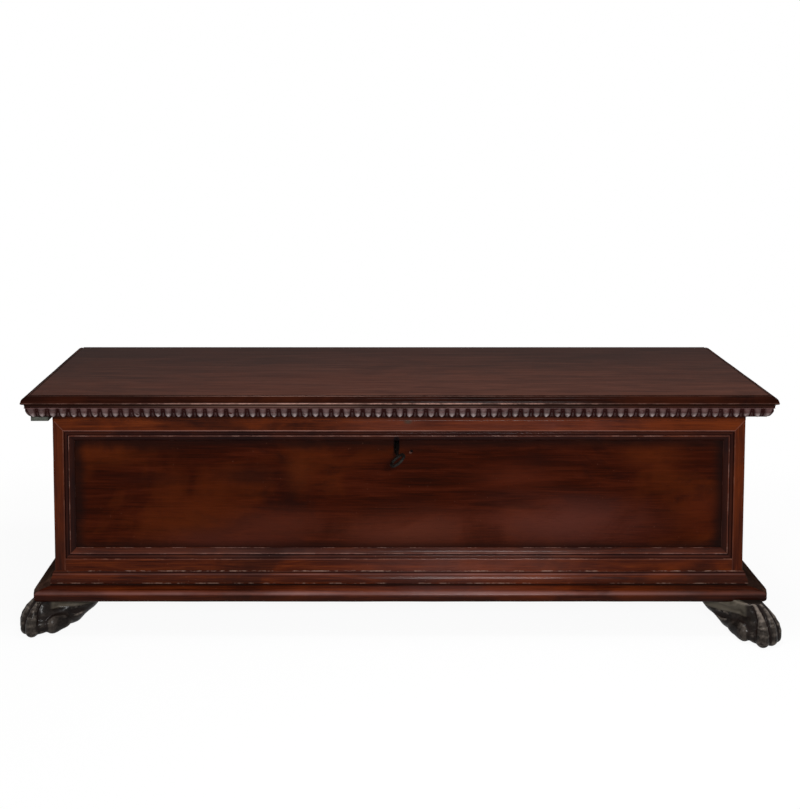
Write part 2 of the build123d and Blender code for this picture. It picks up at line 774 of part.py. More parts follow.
with BuildPart() as lock_case:
    board((lock_x - half_case, plate_face, case_bottom), (lock_x + half_case, case_back, case_top))
    low = (lock_x - half_case + case_wall, plate_face, case_bottom + case_wall)
    high = (lock_x + half_case - case_wall, case_back - case_wall, case_top - case_wall)
    pockets(low, high)
    low = (staple_low - staple_clearance, staple_front - staple_clearance, case_top - 2 * case_wall)
    high = (staple_high + staple_clearance, staple_back + staple_clearance, case_top + 1)
    pockets(low, high)
    with BuildSketch(key_plane):
        Circle(key_shank_radius + key_fit)
    extrude(amount=2 * key_tail, mode=Mode.SUBTRACT)
save(lock_case.part, "lock_case")

with BuildPart() as lock_bolt:
    head_foot = bolt_top - bolt_head_size
    tip = bolt_plate_high + bolt_tip_length
    plate_low = bolt_plate_high - bolt_plate_width
    board((plate_low, bolt_front, bolt_foot), (bolt_plate_high, head_front, bolt_top))
    board((bolt_plate_high - bolt_head_shoulder, head_front, head_foot), (tip, head_back, bolt_top))
    slot_middle = stud_x - bolt_throw / 2
    with BuildSketch(lock_back_face):
        with Locations(*[(-slot_middle, bolt_foot + height) for height in stud_heights]):
            SlotCenterToCenter(bolt_throw, 2 * (stud_radius + stud_clearance))
    extrude(amount=bolt_stand_off + bolt_iron + 1, mode=Mode.SUBTRACT)
save(lock_bolt.part, "lock_bolt")

with BuildPart() as lock_nails:
    nails(lock_back_face, lock_nail_spots, lock_iron + lock_nail)
save(lock_nails.part, "lock_nails")

with BuildPart() as key:
    shank_start = -key_outside + key_bow_length / 2 - key_bow_wire / 2
    with BuildSketch(key_plane.offset(shank_start)):
        Circle(key_shank_radius)
    extrude(amount=key_tail - shank_start)
    flat_plane = Plane(origin=key_plane.origin, x_dir=key_across, z_dir=key_plane.y_dir)
    with BuildSketch(flat_plane):
        with Locations((0, key_outside)):
            Ellipse(key_bow_width / 2, key_bow_length / 2)
            Ellipse(key_bow_width / 2 - key_bow_wire, key_bow_length / 2 - key_bow_wire, mode=Mode.SUBTRACT)
    extrude(amount=key_bow_iron / 2, both=True)
    with BuildSketch(flat_plane):
        with Locations((0, -key_bit_start)):
            Rectangle(key_bit_radius, key_bit_width, align=(Align.MAX, Align.MAX))
    extrude(amount=key_bit_iron / 2, both=True)
save(key.part, "key")
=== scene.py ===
import math
import random

import bmesh
import bpy
import numpy as np
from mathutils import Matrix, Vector, noise


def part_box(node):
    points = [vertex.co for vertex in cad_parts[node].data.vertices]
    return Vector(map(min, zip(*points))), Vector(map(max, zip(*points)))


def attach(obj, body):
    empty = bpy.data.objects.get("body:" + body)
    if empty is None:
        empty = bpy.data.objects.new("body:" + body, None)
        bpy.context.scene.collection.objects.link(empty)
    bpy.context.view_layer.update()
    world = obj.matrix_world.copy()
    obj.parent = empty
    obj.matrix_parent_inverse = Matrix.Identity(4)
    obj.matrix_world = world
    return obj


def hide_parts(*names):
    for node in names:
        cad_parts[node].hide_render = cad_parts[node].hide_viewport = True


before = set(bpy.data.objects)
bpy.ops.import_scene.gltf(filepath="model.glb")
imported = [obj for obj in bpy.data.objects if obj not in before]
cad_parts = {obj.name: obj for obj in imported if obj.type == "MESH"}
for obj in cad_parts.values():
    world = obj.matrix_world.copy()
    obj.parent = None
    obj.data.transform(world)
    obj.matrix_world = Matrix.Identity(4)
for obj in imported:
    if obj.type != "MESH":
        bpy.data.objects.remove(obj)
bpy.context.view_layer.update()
print("frame loaded,", len(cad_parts), "nodes")

scene = bpy.context.scene
scene.view_settings.view_transform = "Standard"
mm = 0.001

# places read from the frame, in metres
lidLow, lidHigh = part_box("lid_front_moulding")
frameLow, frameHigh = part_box("front_frame_top")
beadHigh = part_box("front_bead_top")[1]
lidFront, lidUnderside, halfLid = lidLow.y, lidLow.z, lidHigh.x
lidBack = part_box("lid_left_moulding")[1].y
chestFront, halfChest = frameLow.y, frameHigh.x
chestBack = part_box("left_end_board")[1].y
boardFace = frameHigh.y
halfOpening, openingTop = beadHigh.x, beadHigh.z
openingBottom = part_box("front_frame_bottom")[1].z
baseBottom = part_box("base_front_moulding")[0].z


def addObject(name, data):
    item = bpy.data.objects.new(name, data)
    scene.collection.objects.link(item)
    return item


cameraLook = {
    "place": (-0.0834, -3.3505, 1.3017), "tilt": 4.35,  # degrees below level
    "lens": 58.2, "sensor": 36, "shiftX": 0.0438, "shiftY": -0.257, "near": 0.05, "far": 60,
}


def placeCamera():
    data = bpy.data.cameras.new("camera")
    data.lens, data.sensor_width = cameraLook["lens"], cameraLook["sensor"]
    data.shift_x, data.shift_y = cameraLook["shiftX"], cameraLook["shiftY"]
    data.clip_start, data.clip_end = cameraLook["near"], cameraLook["far"]
    camera = addObject("camera", data)
    camera.location = cameraLook["place"]
    camera.rotation_euler = (math.radians(90 - cameraLook["tilt"]), 0, 0)
    scene.camera = camera


placeCamera()
print("camera placed")


def addMarks(mesh, marks):
    # wear, grime and painted shade, and pale painted highlight: one value for each point, read
    # again by the materials
    for name, values in marks.items():
        layer = mesh.attributes.new(name, "FLOAT", "POINT")
        layer.data.foreach_set("value", np.asarray(values, dtype=np.float32).ravel())


def addPiece(name, vertices, faces, marks=None, creaseAngle=32):
    mesh = bpy.data.meshes.new(name)
    mesh.from_pydata([tuple(v) for v in vertices], [], faces)
    mesh.validate()
    turned = bmesh.new()
    turned.from_mesh(mesh)
    bmesh.ops.recalc_face_normals(turned, faces=turned.faces)
    turned.to_mesh(mesh)
    turned.free()
    mesh.polygons.foreach_set("use_smooth", [True] * len(mesh.polygons))
    mesh.set_sharp_from_angle(angle=math.radians(creaseAngle))
    addMarks(mesh, marks or {})
    return addObject(name, mesh)


def softNoise(points, size, seed):
    # a smooth value from -1 to 1 at each point, another pattern for each seed
    shift = Vector((seed * 13.7, seed * 7.1, seed * 3.3))
    return np.array([noise.noise(Vector(p) / size + shift) for p in points])


def fade(value, start, length):
    return np.clip((value - start) / length, 0, 1)


def arc(start, middle, end, steps):
    # points on the circle through three points, after the first
    (ax, ay), (bx, by), (cx, cy) = start[:2], middle[:2], end[:2]
    aa, bb, cc = ax**2 + ay**2, bx**2 + by**2, cx**2 + cy**2
    d = 2 * (ax * (by - cy) + bx * (cy - ay) + cx * (ay - by))
    centreX = (aa * (by - cy) + bb * (cy - ay) + cc * (ay - by)) / d
    centreY = (aa * (cx - bx) + bb * (ax - cx) + cc * (bx - ax)) / d
    first = math.atan2(ay - centreY, ax - centreX)
    through = math.atan2(by - centreY, bx - centreX)
    last = math.atan2(cy - centreY, cx - centreX)
    turn = (last - first) % (2 * math.pi)
    if (through - first) % (2 * math.pi) > turn:
        turn -= 2 * math.pi
    radius = math.hypot(ax - centreX, ay - centreY)
    angles = [first + turn * i / steps for i in range(1, steps + 1)]
    return [(centreX + radius * math.cos(a), centreY + radius * math.sin(a)) for a in angles]


def tubeFaces(rings, count):
    # four-sided faces between neighbouring rings, and a cap at each end
    faces = []
    for i in range(rings - 1):
        for j in range(count):
            k = (j + 1) % count
            faces.append((i * count + j, i * count + k, (i + 1) * count + k, (i + 1) * count + j))
    faces.append(tuple(range(count)))
    faces.append(tuple(range((rings - 1) * count, rings * count)))
    return faces


def evenStations(length, step):
    count = max(2, int(round(length / step)) + 1)
    return np.linspace(0, 1, count)


mitreLine = 0.0028  # length of the close station at a mitre, in metres


def mitredStations(length, step):
    # a close extra station at each end, so that a mark on the mitre stays narrow
    inner = evenStations(length, step)
    near = mitreLine / length
    return np.concatenate(([0.0, near], inner[1:-1], [1 - near, 1.0]))


# unevenness of every run: slow swells, and quick dents where it is worn; sizes in metres
uneven = {"slowSize": 0.09, "quickSize": 0.012, "quickFrom": 0.1}


def sweep(name, outline, place, length, settings, seed, stationsOf=evenStations):
    # outline: points (a, b) in mm round the moulding, and their marks
    # place(a, b, t) gives the point in metres
    points, marks = outline
    stations = stationsOf(length, settings["step"])
    count, rings = len(points), len(stations)
    grid = np.array([[place(a, b, t) for a, b in np.asarray(points, float)] for t in stations])
    along = np.gradient(grid, axis=0)
    around = np.roll(grid, -1, axis=1) - np.roll(grid, 1, axis=1)
    normal = np.cross(along, around)
    normal /= np.linalg.norm(normal, axis=2, keepdims=True) + 1e-12
    centre = grid.mean(axis=1, keepdims=True)
    if ((grid - centre) * normal).sum() < 0:
        normal = -normal
    flat = grid.reshape(-1, 3)
    layers = {key: np.tile(np.asarray(values, float), rings) for key, values in marks.items()}
    slow = softNoise(flat, uneven["slowSize"], seed) * settings["wobble"] * mm
    quick = np.clip(softNoise(flat, uneven["quickSize"], seed + 3) - uneven["quickFrom"], 0, 1)
    quick = quick * settings["dents"] * mm * layers["wear"]
    flat = flat + (slow - quick)[:, None] * normal.reshape(-1, 3)
    return addPiece(name, flat, tubeFaces(rings, count), layers)


def section(*parts):
    # parts: (a, b, wear, grime and painted shade, pale painted highlight) corners, or ("arc",
    # middle, end, steps) from the last one
    # returns the points and their marks
    points, levels = [], []
    for part in parts:
        if part[0] == "arc":
            middle, end, steps = part[1:]
            start, finish = levels[-1], (tuple(end[2:]) + (0.0,) * 3)[:3]
            for i, point in enumerate(arc(points[-1], middle, end, steps)):
                share = (i + 1) / steps
                points.append(point)
                levels.append(tuple(s * (1 - share) + f * share for s, f in zip(start, finish)))
        else:
            points.append(part[:2])
            levels.append((tuple(part[2:]) + (0.0,) * 3)[:3])
    wear, grimeAndShade, pale = np.clip(np.array(levels), 0, 1).T
    return points, {"wear": wear, "grimeAndShade": grimeAndShade, "pale": pale}


def finishPiece(piece, node, body, slot, *looks):
    # the piece takes the place of the node
    for look in looks:
        piece.data.materials.append(look)
    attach(piece, body)
    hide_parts(node)


def tone(red, green, blue):
    # a colour as it is seen, turned into the linear values that the shaders take
    def linear(level):
        share = level / 255
        return share / 12.92 if level <= 10 else ((share + 0.055) / 1.055) ** 2.4
    return linear(red), linear(green), linear(blue), 1.0


def emptyMaterial(name):
    material = bpy.data.materials.new(name)
    material.use_nodes = True
    material.node_tree.nodes.clear()
    return material, material.node_tree


def addNode(tree, kind, settings=None, **inputs):
    # inputs are named as their sockets, or n0, n1 and so on by their number
    node = tree.nodes.new("ShaderNode" + kind)
    for key, value in (settings or {}).items():
        setattr(node, key, value)
    for key, value in inputs.items():
        numbered = key[0] == "n" and key[1:].isdigit()
        socket = node.inputs[int(key[1:]) if numbered else key.replace("_", " ")]
        if isinstance(value, bpy.types.NodeSocket):
            tree.links.new(value, socket)
        else:
            socket.default_value = value
    return node


def mixColour(tree, factor, first, second):
    return addNode(tree, "Mix", {"data_type": "RGBA"}, n0=factor, n6=first, n7=second).outputs[2]


def calc(tree, operation, first, second=0.0, clamp=False):
    settings = {"operation": operation, "use_clamp": clamp}
    return addNode(tree, "Math", settings, n0=first, n1=second).outputs[0]


def vectorCalc(tree, operation, *values):
    inputs = {f"n{i}": value for i, value in enumerate(values)}
    return addNode(tree, "VectorMath", {"operation": operation}, **inputs)


def span(tree, value, low, high, newLow=0.0, newHigh=1.0):
    settings = {"interpolation_type": "SMOOTHSTEP"}
    ends = {"From_Min": low, "From_Max": high, "To_Min": newLow, "To_Max": newHigh}
    return addNode(tree, "MapRange", settings, Value=value, **ends).outputs[0]


def noiseField(tree, coords, scale, detail, roughness, distortion=0.0, stretch=(1, 1, 1),
               offset=(0, 0, 0)):
    moved = addNode(tree, "Mapping", Vector=coords, Location=offset, Scale=stretch).outputs[0]
    return addNode(tree, "TexNoise", Vector=moved, Scale=scale, Detail=detail,
                   Roughness=roughness, Distortion=distortion).outputs[0]


def ramp(tree, factor, stops):
    node = addNode(tree, "ValToRGB", Fac=factor)
    band, stops = node.color_ramp, list(stops)
    while len(band.elements) < len(stops):
        band.elements.new(0.5)
    for element, (place, colour) in zip(band.elements, stops):
        element.position = place
        element.color = colour
    return node.outputs[0]


def blot(tree, coords, centre, radii):
    # 1 at the centre of a soft oval, 0 at its rim
    moved = vectorCalc(tree, "SUBTRACT", coords, centre).outputs[0]
    scaled = vectorCalc(tree, "DIVIDE", moved, radii).outputs[0]
    return span(tree, vectorCalc(tree, "LENGTH", scaled).outputs[1], 1.0, 0.0)


def mark(tree, name):
    return addNode(tree, "Attribute", {"attribute_name": name}).outputs[2]


def edgeDirtAndShade(tree, coords, edge, clouds):
    # dirt and painted shade that thicken towards a line: edge is (axis, place in metres, reach,
    # amount)
    axis, place, reach, amount = edge
    parts = addNode(tree, "SeparateXYZ", Vector=coords)
    distance = calc(tree, "ABSOLUTE", calc(tree, "SUBTRACT", parts.outputs[axis], place))
    waver = calc(tree, "MULTIPLY", calc(tree, "SUBTRACT", clouds, 0.5), reach * 1.6)
    ragged = calc(tree, "ADD", distance, waver)
    return calc(tree, "MULTIPLY", span(tree, ragged, reach, 0.0), amount)


# each noise of the wood: stretch along and across the grain, detail, roughness, distortion
woodNoise = {
    "figure": (1.0, 14.0, 5.0, 0.62, 1.2),
    "fibre": (1.0, 40.0, 5.0, 0.6, 0.2),
    "pore": (1.0, 40.0, 2.0, 0.5, 0.0),
    "cloud": (0.6, 1.0, 5.0, 0.62, 0.6),
    "glow": (0.6, 1.0, 4.0, 0.6, 0.5),
    "dash": (0.45, 1.0, 3.0, 0.7, 0.0),
    "speckle": (1.0, 1.0, 3.0, 0.6, 0.0),
    "swell": (1.0, 1.0, 3.0, 0.5, 0.0),
}
# where each effect starts and is full, and its amounts there if they aren't 0 and 1
woodSpans = {
    "glow": (0.48, 0.66), "stain": (0.5, 0.66), "pore": (0.56, 0.7), "spot": (0.15, 0.6),
    "blot": (0.3, 0.6, 0.4, 1.0), "rubbed": (0.3, 0.6, 0.45, 1.0), "sheen": (0.36, 0.6),
    "nick": (0.7, 0.76),
}
woodBase = {
    "figureScale": 3.4, "fibreScale": 9.0, "poreScale": 34.0, "cloudScale": 7.0, "glowScale": 5.0,
    "dashScale": 60.0, "speckleScale": 150.0, "swellScale": 26.0,
    "glowPlace": (5.3, 1.7, 9.1), "figureShare": 0.6, "stops": (0.38, 0.5, 0.62),
    "glow": 0.6, "cloud": 0.6, "pore": 0.35, "grimeAndShade": 0.85, "grimeAndShadeTone": (20, 9, 7),
    "wear": 0.7, "wearTone": (160, 108, 86), "dashLow": 0.53, "dashSpan": 0.12, "nicks": 0.0,
    # pale: amount and colour of the painted highlight laid by the pale mark
    "pale": 0.8, "highlightTone": (130, 94, 86), "highlightLow": 0.35,
    # light falls strongest on the middle of the front, and leaves this much of the marks beyond it
    "lightX": -0.08, "lightFull": 0.15, "highlightReach": 0.8, "highlightEnds": 0.45, "wearEnds": 0.9,
    "rough": 0.45, "roughFibre": 0.25, "roughGrime": 0.25, "gloss": 0.02, "coat": 0.06,
    "coatRough": 0.14, "bump": 0.25, "bumpDepth": 0.0012, "fibreHeight": 0.35, "swell": 0.5,
    "poreHeight": 0.4, "pitted": 0.0,
}


def makeWood(name, look, grain="X"):
    material, tree = emptyMaterial(name)
    coords = addNode(tree, "TexCoord").outputs[3]

    def field(kind, offset=(0, 0, 0)):
        along, across, *rest = woodNoise[kind]
        stretch = tuple(along if axis == grain else across for axis in "XYZ")
        return noiseField(tree, coords, look[kind + "Scale"], *rest, stretch, offset)

    def times(first, second):
        return calc(tree, "MULTIPLY", first, second)

    def shown(value, kind):
        return span(tree, value, *woodSpans[kind])

    def lay(amount, tint):
        nonlocal colour
        colour = mixColour(tree, amount, colour, tone(*tint))

    figure, fibre, pores, clouds = [field(kind) for kind in ("figure", "fibre", "pore", "cloud")]
    glow, speckle = field("glow", look["glowPlace"]), field("speckle")
    # the wood itself, with its warm parts, stains and pores
    share = look["figureShare"]
    blend = calc(tree, "ADD", times(figure, share), times(fibre, 1 - share))
    tones = [tone(*look[key]) for key in ("dark", "mid", "light")]
    colour = ramp(tree, blend, zip(look["stops"], tones))
    lay(times(shown(glow, "glow"), look["glow"]), look["warm"])
    lay(times(shown(clouds, "stain"), look["cloud"]), look["stain"])
    for centre, radii, amount, tint in look.get("blots", ()):
        patch = blot(tree, coords, centre, radii)
        lay(times(times(patch, shown(clouds, "blot")), amount), tint)
    poreMask = times(shown(pores, "pore"), look["pore"])
    lay(poreMask, look["stain"])
    # dirt and painted shade: darkening towards edges, dark spots, and the grime and shade mark
    for edge in look.get("edges", ()):
        lay(edgeDirtAndShade(tree, coords, edge, clouds), look["grimeAndShadeTone"])
    for centre, radii, amount, tint in look.get("spots", ()):
        lay(times(shown(blot(tree, coords, centre, radii), "spot"), amount), tint)
    # the grime and shade mark darkens grooves, undersides and faces turned away from the light:
    # dirt and painted shade
    grimeAndShade = mark(tree, "grimeAndShade")
    lay(times(grimeAndShade, look["grimeAndShade"]), look["grimeAndShadeTone"])
    # rubbed edges, and pale painted highlights (sheen), both fading away from where the light
    # falls
    sideways = addNode(tree, "SeparateXYZ", Vector=coords).outputs[0]
    across = calc(tree, "ABSOLUTE", calc(tree, "SUBTRACT", sideways, look["lightX"]))
    reach = (look["lightFull"], look["highlightReach"], 1.0)
    dashed = span(tree, field("dash"), look["dashLow"], look["dashLow"] + look["dashSpan"])
    rubbed = times(times(mark(tree, "wear"), dashed), shown(speckle, "rubbed"))
    rubbed = times(rubbed, span(tree, across, *reach, look["wearEnds"]))
    lay(times(rubbed, look["wear"]), look["wearTone"])
    # the pale mark lays a painted highlight on arrises, crowns and facets
    sheen = times(mark(tree, "pale"), span(tree, glow, *woodSpans["sheen"], look["highlightLow"], 1.0))
    sheen = times(sheen, span(tree, across, *reach, look["highlightEnds"]))
    lay(times(sheen, look["pale"]), look["highlightTone"])
    lay(times(shown(speckle, "nick"), look["nicks"]), look["wearTone"])
    # roughness and relief
    rough = times(calc(tree, "SUBTRACT", fibre, 0.5), look["roughFibre"])
    rough = calc(tree, "ADD", look["rough"], rough)
    rough = calc(tree, "ADD", rough, times(grimeAndShade, look["roughGrime"]), True)
    height = times(fibre, look["fibreHeight"])
    height = calc(tree, "ADD", height, times(field("swell"), look["swell"]))
    height = calc(tree, "SUBTRACT", height, times(poreMask, look["poreHeight"]))
    height = calc(tree, "ADD", height, times(speckle, look["pitted"]))
    bump = addNode(tree, "Bump", Strength=look["bump"], Distance=look["bumpDepth"],
                   Height=height).outputs[0]
    shader = addNode(tree, "BsdfPrincipled", Base_Color=colour, Roughness=rough, Normal=bump,
                     Specular_IOR_Level=look["gloss"], Coat_Weight=look["coat"],
                     Coat_Roughness=look["coatRough"])
    addNode(tree, "OutputMaterial", Surface=shader.outputs[0])
    material.diffuse_color = tones[1]
    return material


def patches(y, reach, *rows):
    # soft patches on the chest: x, z, half width, half height, amount and colour of each
    return tuple(
        ((x, y, z), (wide, reach, high), amount, colour)
        for x, z, wide, high, amount, *colour in rows
    )


panelLook = dict(
    woodBase, dark=(33, 7, 1), mid=(51, 13, 2), light=(66, 22, 7), warm=(86, 34, 8),
    stain=(24, 6, 4), glow=0.5, cloud=0.7, nicks=0.15, coat=0.035, gloss=0.01,
    blots=patches(
        -0.23, 0.2,
        (-0.7, 0.44, 0.13, 0.055, 0.7, 92, 38, 10),
        (-0.52, 0.27, 0.16, 0.07, 0.6, 84, 34, 10),
        (-0.24, 0.4, 0.06, 0.09, 0.6, 88, 36, 10),
        (0.62, 0.43, 0.12, 0.05, 0.6, 90, 36, 10),
        (0.28, 0.38, 0.16, 0.05, 0.6, 86, 34, 18),
        (0.74, 0.3, 0.08, 0.09, 0.5, 86, 32, 12),
        (-0.36, 0.385, 0.13, 0.04, 0.75, 22, 7, 6),
        (-0.6, 0.375, 0.14, 0.028, 0.6, 24, 8, 6),
        (0.02, 0.31, 0.12, 0.04, 0.45, 24, 8, 6),
        (0.25, 0.335, 0.15, 0.03, 0.5, 26, 10, 8),
        (0.35, 0.42, 0.14, 0.035, 0.45, 26, 9, 7),
        (0.4, 0.27, 0.34, 0.1, 0.75, 92, 46, 36),
        (0.03, 0.25, 0.34, 0.08, 0.75, 92, 44, 30),
        (-0.3, 0.26, 0.22, 0.07, 0.55, 88, 40, 26),
        (-0.45, 0.22, 0.3, 0.05, 0.5, 80, 36, 26),
    ),
    # keyhole's dark, painted shade, and the light edge and dark hole of a nail beside it
    spots=patches(
        -0.23, 0.1,
        (-0.0058, 0.456, 0.0125, 0.04, 1.0, 6, 3, 3),
        (0.0285, 0.4405, 0.006, 0.005, 0.45, 112, 84, 74),
        (0.0307, 0.444, 0.006, 0.006, 1.0, 10, 6, 6),
    ),
    # dirt and painted shade along the frame round the recessed panel
    edges=(
        (2, 0.47, 0.03, 0.75), (2, 0.205, 0.024, 0.6),
        (0, -0.787, 0.03, 0.75), (0, 0.787, 0.034, 0.85),
    ),
)
mouldingLook = dict(
    woodBase, dark=(44, 13, 4), mid=(72, 26, 8), light=(100, 42, 14),
    warm=(112, 46, 12), stain=(34, 12, 7), nicks=0.2,
    blots=patches(
        -0.24, 0.1,
        (0.3, 0.51, 0.42, 0.05, 0.45, 104, 58, 50),
        (0.16, 0.16, 0.46, 0.07, 0.55, 106, 64, 56),
        (-0.55, 0.14, 0.3, 0.05, 0.4, 44, 20, 14),
    ) + patches(-0.26, 0.2, (-0.84, 0.11, 0.2, 0.06, 0.8, 38, 18, 17)) + patches(
        # the darker patches at the right end of the base are painted shade
        -0.24, 0.2,
        (0.86, 0.1, 0.12, 0.06, 0.75, 34, 20, 16),
        (0.74, 0.11, 0.34, 0.05, 0.7, 42, 20, 14),
    ) + patches(
        -0.24, 0.1,
        (0.64, 0.176, 0.24, 0.03, 0.5, 58, 20, 11),
        (-0.826, 0.3, 0.05, 0.4, 0.7, 44, 22, 16),
        (0.826, 0.3, 0.05, 0.4, 0.35, 48, 22, 14),
    ),
)
lidLook = dict(
    woodBase, dark=(48, 22, 14), mid=(62, 32, 22), light=(76, 42, 31),
    warm=(72, 34, 20), stain=(42, 18, 12), glow=0.3, cloud=0.35, rough=0.4, coatRough=0.2,
    # the lid is darker towards its back: painted shade
    gloss=0.0, coat=0.06, grimeAndShadeTone=(26, 13, 10), edges=((1, 0.34, 0.62, 0.62),),
)
lidEdgeLook = dict(
    woodBase, dark=(20, 6, 3), mid=(32, 11, 6), light=(46, 19, 11),
    # the nose line is rubbed wear and a painted highlight, fading towards the ends
    warm=(60, 24, 10), stain=(17, 6, 5), coat=0.02, gloss=0.0, dashLow=0.42, wear=0.9,
    wearTone=(196, 150, 136), pale=0.95, highlightTone=(172, 134, 122), highlightReach=0.68,
    highlightEnds=0.1, wearEnds=0.12,
)
baseLook = dict(
    mouldingLook, dashLow=0.48, wear=0.8, wearTone=(156, 126, 112),
    highlightTone=(140, 104, 100), wearEnds=0.8,
    # the pale band along the middle of the torus is a painted highlight
    blots=mouldingLook["blots"] + patches(-0.25, 0.1, (0.04, 0.108, 0.5, 0.014, 0.5, 104, 70, 66)),
)
beadLook = dict(
    # the dark grime and shade colour paints the shade on the beads' faces turned down
    mouldingLook, grimeAndShadeTone=(20, 10, 11), grimeAndShade=0.95, wear=0.8, wearTone=(160, 122, 110),
    # the keyhole's dark on the top bead is painted shade
    dashLow=0.48, spots=patches(-0.235, 0.1, (-0.0058, 0.472, 0.013, 0.02, 1.0, 6, 3, 3)),
)
railLook = dict(
    mouldingLook, mid=(78, 30, 10), light=(106, 46, 16), cloud=0.35, pale=0.9,
    highlightTone=(150, 108, 98),
    blots=patches(
        -0.24, 0.1,
        (0.3, 0.51, 0.42, 0.05, 0.55, 112, 60, 50),
        (-0.02, 0.51, 0.2, 0.05, 0.45, 108, 56, 42),
        (0.0215, 0.519, 0.014, 0.008, 0.9, 58, 62, 54),
    ),
)
endLook = dict(
    mouldingLook, dark=(42, 30, 25), mid=(62, 45, 37), light=(82, 62, 52),
    warm=(78, 48, 34), stain=(34, 24, 20), gloss=0.0, coat=0.0,
    # the right end is painted darker: painted shade
    blots=patches(0.0, 0.7, (0.9, 0.12, 0.2, 0.2, 0.8, 40, 26, 20)),
)
plainLook = dict(
    woodBase, dark=(34, 21, 14), mid=(52, 34, 23), light=(72, 49, 34),
    warm=(76, 49, 30), stain=(26, 17, 12), gloss=0.02, coat=0.01, rough=0.62,
)
cleatLook = dict(
    plainLook, dark=(62, 64, 58), mid=(84, 87, 80), light=(104, 106, 98),
    warm=(88, 84, 74), stain=(52, 52, 46), glow=0.3, cloud=0.4,
)
gadroonLook = dict(
    woodBase, dark=(44, 24, 23), mid=(78, 50, 48), light=(106, 77, 75),
    # the near-white wear colour paints the highlights on the tongues
    warm=(92, 44, 38), stain=(36, 14, 14), wearTone=(222, 207, 205), dashLow=0.32,
    grimeAndShadeTone=(42, 16, 14), grimeAndShade=0.95, cloud=0.45, glow=0.3, pore=0.2, coat=0.05, gloss=0.0,
    dashScale=90.0, pale=0.6, highlightTone=(98, 56, 50),
)
pawLook = dict(
    woodBase, dark=(13, 10, 9), mid=(26, 21, 18), light=(40, 33, 29),
    warm=(46, 26, 19), stain=(10, 7, 6), wearTone=(140, 128, 118), dashLow=0.4,
    gloss=0.03, coat=0.1, coatRough=0.2, glow=0.35, cloud=0.4, swell=1.2, bump=0.4, pitted=0.15,
    pale=0.9, highlightTone=(94, 87, 76), highlightLow=0.75, highlightEnds=1.0,
    # the right front paw is painted darker: painted shade
    blots=patches(-0.3, 0.2, (0.86, 0.03, 0.2, 0.14, 0.5, 21, 17, 14)),
)

panelWood = makeWood("panelWalnut", panelLook)
mouldingAlongX = makeWood("mouldingWalnutLong", mouldingLook)
railWood = makeWood("railWalnut", railLook)
mouldingAlongY = makeWood("mouldingWalnutSide", mouldingLook, "Y")
mouldingUpright = makeWood("mouldingWalnutUpright", mouldingLook, "Z")
baseWood = makeWood("baseWalnutLong", baseLook)
beadAlongX = makeWood("beadWalnutLong", beadLook)
beadUpright = makeWood("beadWalnutUpright", beadLook, "Z")
endWood = makeWood("endWalnut", endLook, "Y")
lidWood = makeWood("lidWalnut", lidLook)
lidEdgeWood = makeWood("lidEdgeWalnut", lidEdgeLook)
lidEdgeSideWood = makeWood("lidEdgeWalnutSide", lidEdgeLook, "Y")
plainWood = makeWood("plainWalnut", plainLook)
cleatWood = makeWood("cleatWalnut", cleatLook, "Y")
gadroonWood = makeWood("gadroonWalnut", gadroonLook)
pawWood = makeWood("pawWalnut", pawLook)


ironBase = {
    "scale": 260.0, "dark": (26, 24, 22), "light": (58, 54, 50), "stops": (0.35, 0.65),
    "rust": 0.6, "rustTone": (52, 32, 22), "rustScale": 0.3, "rustSpan": (0.52, 0.7),
    "wear": 0.7, "worn": (120, 104, 96), "rough": 0.5, "smoother": 0.1, "rougher": 0.15,
    "roughSpan": (0.3, 0.7), "metallic": 0.75, "gloss": 0.3, "bump": 0.4, "bumpDepth": 0.0006,
}


def makeIron(name, look):
    material, tree = emptyMaterial(name)
    coords = addNode(tree, "TexCoord").outputs[3]
    scale = noiseField(tree, coords, look["scale"], 5.0, 0.65)
    rust = noiseField(tree, coords, look["scale"] * look["rustScale"], 3.0, 0.6)
    colour = ramp(tree, scale, zip(look["stops"], (tone(*look["dark"]), tone(*look["light"]))))
    rusty = span(tree, rust, *look["rustSpan"], 0.0, look["rust"])
    colour = mixColour(tree, rusty, colour, tone(*look["rustTone"]))
    wear = calc(tree, "MULTIPLY", mark(tree, "wear"), look["wear"])
    colour = mixColour(tree, wear, colour, tone(*look["worn"]))
    smooth, coarse = look["rough"] - look["smoother"], look["rough"] + look["rougher"]
    rough = span(tree, scale, *look["roughSpan"], smooth, coarse)
    bump = addNode(tree, "Bump", Strength=look["bump"], Distance=look["bumpDepth"],
                   Height=scale).outputs[0]
    shader = addNode(tree, "BsdfPrincipled", Base_Color=colour, Roughness=rough, Normal=bump,
                     Metallic=look["metallic"], Specular_IOR_Level=look["gloss"])
    addNode(tree, "OutputMaterial", Surface=shader.outputs[0])
    return material


forgedIron = makeIron("forgedIron", ironBase)
blackIron = makeIron("blackIron", dict(
    ironBase, dark=(12, 10, 9), light=(38, 35, 32), rust=0.4, rustTone=(34, 20, 14),
    worn=(110, 98, 90), rough=0.45,
))
print("materials made")


def threeRuns(edgeX, edgeY, backY, baseZ, inward=1):
    # the runs along the front and the two ends, each with its length: a is the distance in from
    # the corner line; an end run starts at the mitre and ends square at the back
    def front(a, b, t):
        x = (2 * t - 1) * (edgeX - inward * a * mm)
        return x, edgeY + inward * a * mm, baseZ + b * mm

    def end(side):
        def place(a, b, t):
            start = edgeY + inward * a * mm
            return side * (edgeX - inward * a * mm), start + t * (backY - start), baseZ + b * mm
        return place, backY - edgeY

    return {"front": (front, 2 * edgeX), "left": end(-1), "right": end(1)}


lidRuns = threeRuns(halfLid, lidFront, lidBack, lidUnderside)

# lid edge: ovolo over a fillet and a cove, with a groove round the top
lidEdge = {"thick": 28, "step": 0.012, "wobble": 0.3, "dents": 1.3}
